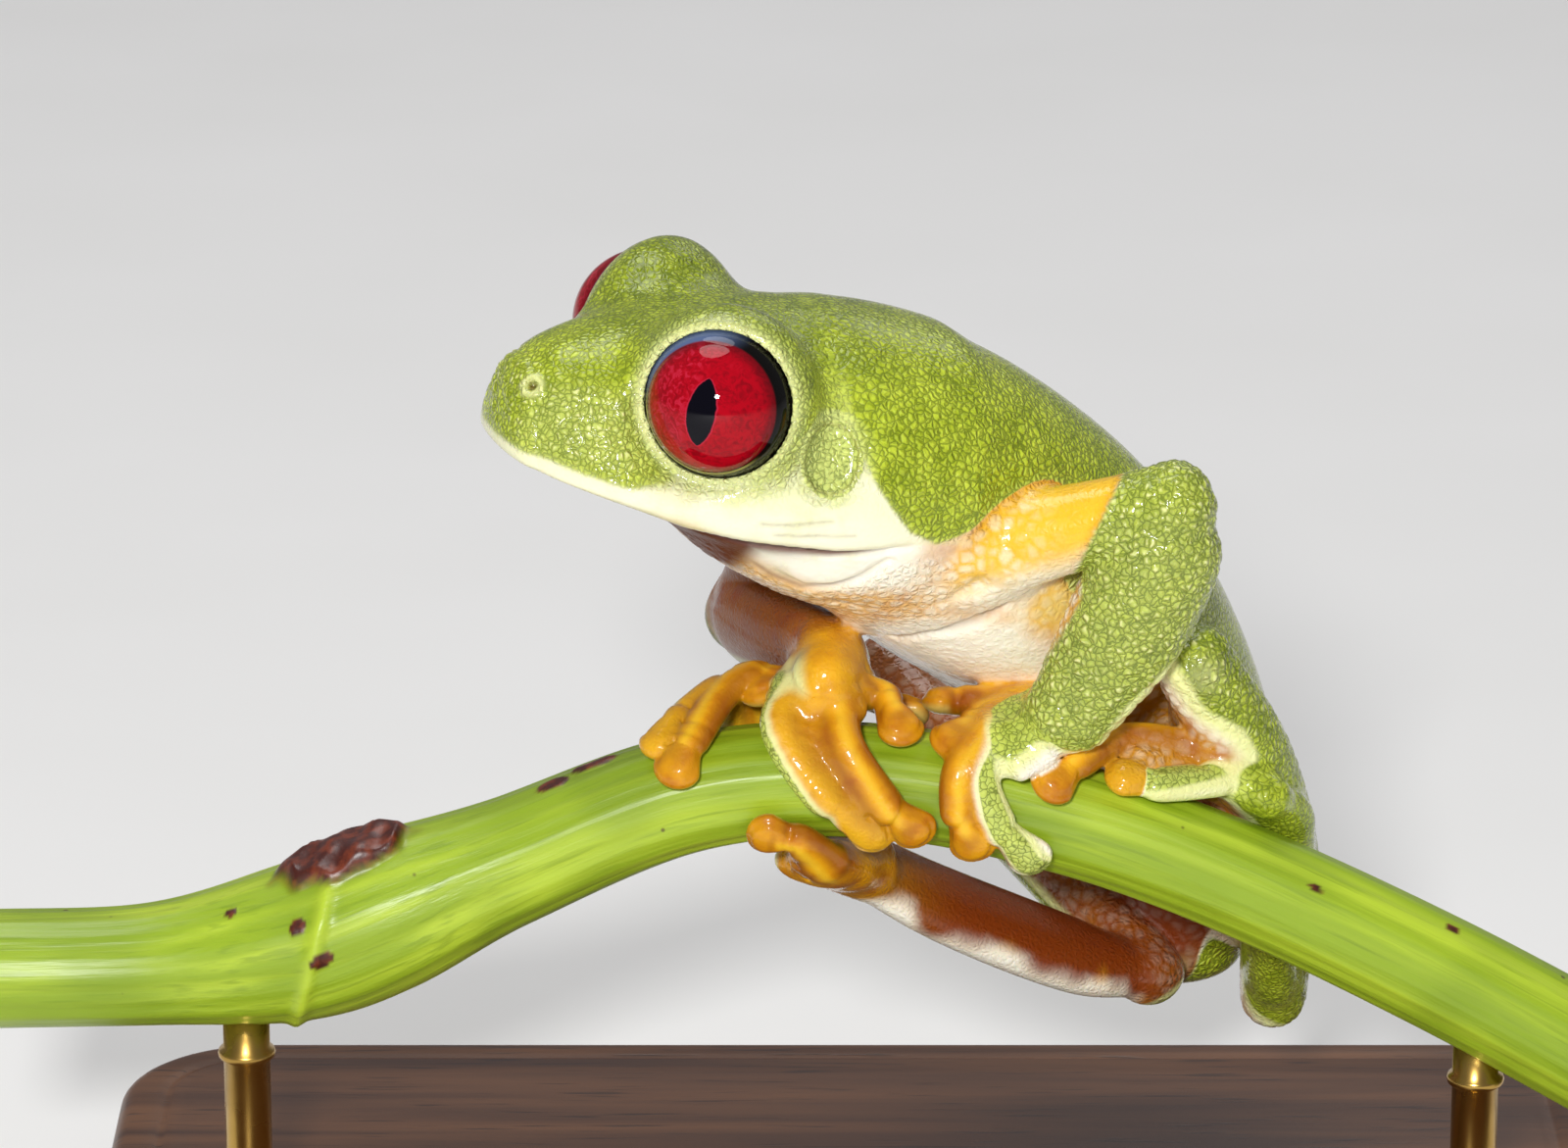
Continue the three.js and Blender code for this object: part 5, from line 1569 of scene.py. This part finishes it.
class TREEFROG_OT_stand(bpy.types.Operator):
    """Makes the walnut base with its eased edges, and the two turned brass rods"""

    bl_idname = "treefrog.stand"
    bl_label = "Stand"

    def execute(self, context):
        colours = context.scene.treefrog_colours
        # The base's profile as [inset, height]: a small eased foot, a flat side, a rounded top edge and
        # a shallow line sunk into the top.
        top, easing = BASE["thickness"], 1.1
        profile = [(0.9, 0.0), (0.35, 0.12), (0.05, 0.45), (0.0, 0.8)]
        profile += [(easing - easing * math.cos(a), top - easing + easing * math.sin(a))
                    for a in np.radians(np.linspace(0, 90, 9))]
        profile += [(2.4, top), (2.6, top - 0.12), (2.9, top - 0.12), (3.1, top)]
        base = stack("base", [base_ring(inset, z) - LIFT for inset, z in profile])
        base.data.materials.append(walnut_material(colours))
        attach(base, "root")
        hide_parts("stand_base")

        # Each rod's profile as [radius, height]: a foot flange, a plain shaft, and a bead under the stem.
        # Its top ends just inside the rind.
        brass = brass_material(colours)
        foot = top - LIFT[2] + 0.02
        turns = np.linspace(0, 2 * math.pi, 64, endpoint=False)
        rod, flange, rise = ROD["radius"], ROD["flange"], ROD["flange_height"]
        lower = [(0, 0), (flange - 0.15, 0), (flange, 0.15), (flange, rise * 0.5),
                 (flange - 0.12, rise * 0.62), (flange - 0.6, rise * 0.7), (rod + 0.5, rise * 0.85),
                 (rod + 0.15, rise + 0.25), (rod, rise + 0.8)]
        upper = [(rod, -2.2), (rod + 0.25, -2.0), (rod + 0.3, -1.8), (rod + 0.25, -1.6), (rod, -1.4),
                 (rod, 0.25), (0, 0.25)]
        for x, (name, _) in zip(ROD["xs"], SIDES):
            middle, radius = stem_at(x)
            profile = [(r, foot + z) for r, z in lower] + [(r, middle - radius + z) for r, z in upper]
            rings = [np.column_stack([x + max(r, 0.01) * np.cos(turns), max(r, 0.01) * np.sin(turns),
                                      np.full(64, z)]) for r, z in profile]
            piece = stack("rod_" + name, rings)
            piece.data.materials.append(brass)
            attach(piece, "root")
            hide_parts("stand_rod_" + name)
        return {"FINISHED"}


# Each lamp's place and width in metres, and its share of the front light's power. The front lamp gives
# the small crisp highlights of a wet skin, the top one softens its shadows, and the rim lamp parts the
# back from the background. All are aimed at the middle of the model.
MIDDLE = Vector((0.0, 0.0, 0.045))
LAMPS = {"front": ((-0.05, -0.45, 0.24), 0.055, 1.0), "top": ((-0.09, 0.12, 0.67), 0.4, 1.0),
         "rim": ((0.25, 0.55, 0.5), 0.35, 0.2)}
AIR = {"colour": "#f7f8ff", "strength": 0.24}
# The camera looks along +Y and down by its tilt, at a target in mm; its distance and lens are in mm.
CAMERA = {"target": (-4.16, -6.0, 43.455), "tilt": 18, "distance": 400, "lens": 174.6, "sensor": 36.0}
FLOOR_REACH = 3.0


class TREEFROG_OT_stage(bpy.types.Operator):
    """Lays the pale floor and sets the soft lights and the camera"""

    bl_idname = "treefrog.stage"
    bl_label = "Studio"

    def execute(self, context):
        mesh = bpy.data.meshes.new("floor")
        corners = [(x * FLOOR_REACH, y * FLOOR_REACH, 0) for x, y in ((-1, -1), (1, -1), (1, 1), (-1, 1))]
        mesh.from_pydata(corners, [], [(0, 1, 2, 3)])
        mesh.materials.append(floor_material(context.scene.treefrog_colours))
        floor = link(bpy.data.objects.new("floor", mesh))

        world = bpy.data.worlds.new("studio_air")
        world.use_nodes = True
        back = world.node_tree.nodes["Background"]
        back.inputs["Color"].default_value = linear(AIR["colour"])
        back.inputs["Strength"].default_value = AIR["strength"]
        context.scene.world = world
        context.scene.view_settings.view_transform = "Standard"

        for name, (place, width, share) in LAMPS.items():
            light = bpy.data.lights.new(name, "AREA")
            light.shape = "DISK"
            light.size = width
            light.energy = context.scene.treefrog_sizes.key_power * share
            lamp = link(bpy.data.objects.new(name, light))
            lamp.location = place
            lamp.rotation_euler = (MIDDLE - Vector(place)).to_track_quat("-Z", "Y").to_euler()

        tilt = math.radians(CAMERA["tilt"])
        camera = bpy.data.cameras.new("camera")
        camera.lens = CAMERA["lens"]
        camera.sensor_width = CAMERA["sensor"]
        camera.clip_start = 0.01
        viewer = link(bpy.data.objects.new("camera", camera))
        back_off = Vector((0, math.cos(tilt), -math.sin(tilt))) * (CAMERA["distance"] * MM)
        viewer.location = Vector(CAMERA["target"]) * MM - back_off
        viewer.rotation_euler = (math.radians(90) - tilt, 0, 0)
        context.scene.camera = viewer
        return {"FINISHED"}


class TREEFROG_PT_panel(bpy.types.Panel):
    """Lists the model's pieces and settings"""

    bl_label = "Tree frog"
    bl_idname = "TREEFROG_PT_panel"
    bl_space_type = "VIEW_3D"
    bl_region_type = "UI"
    bl_category = "Tree frog"

    def draw(self, context):
        for operator in OPERATORS:
            self.layout.operator(operator.bl_idname)
        for settings in (context.scene.treefrog_sizes, context.scene.treefrog_colours):
            for name in settings.__annotations__:
                self.layout.prop(settings, name)


OPERATORS = (TREEFROG_OT_stage, TREEFROG_OT_stand, TREEFROG_OT_perch, TREEFROG_OT_eyes, TREEFROG_OT_skin)
CLASSES = (FrogColours, FrogSizes, *OPERATORS, TREEFROG_PT_panel)


def register():
    for cls in CLASSES:
        bpy.utils.register_class(cls)
    bpy.types.Scene.treefrog_colours = bpy.props.PointerProperty(type=FrogColours)
    bpy.types.Scene.treefrog_sizes = bpy.props.PointerProperty(type=FrogSizes)


def unregister():
    del bpy.types.Scene.treefrog_sizes
    del bpy.types.Scene.treefrog_colours
    for cls in reversed(CLASSES):
        bpy.utils.unregister_class(cls)


def main():
    register()
    bpy.ops.treefrog.stage()
    bpy.ops.treefrog.stand()
    bpy.ops.treefrog.perch()
    bpy.ops.treefrog.eyes()
    bpy.ops.treefrog.skin()


if __name__ == "__main__":
    main()
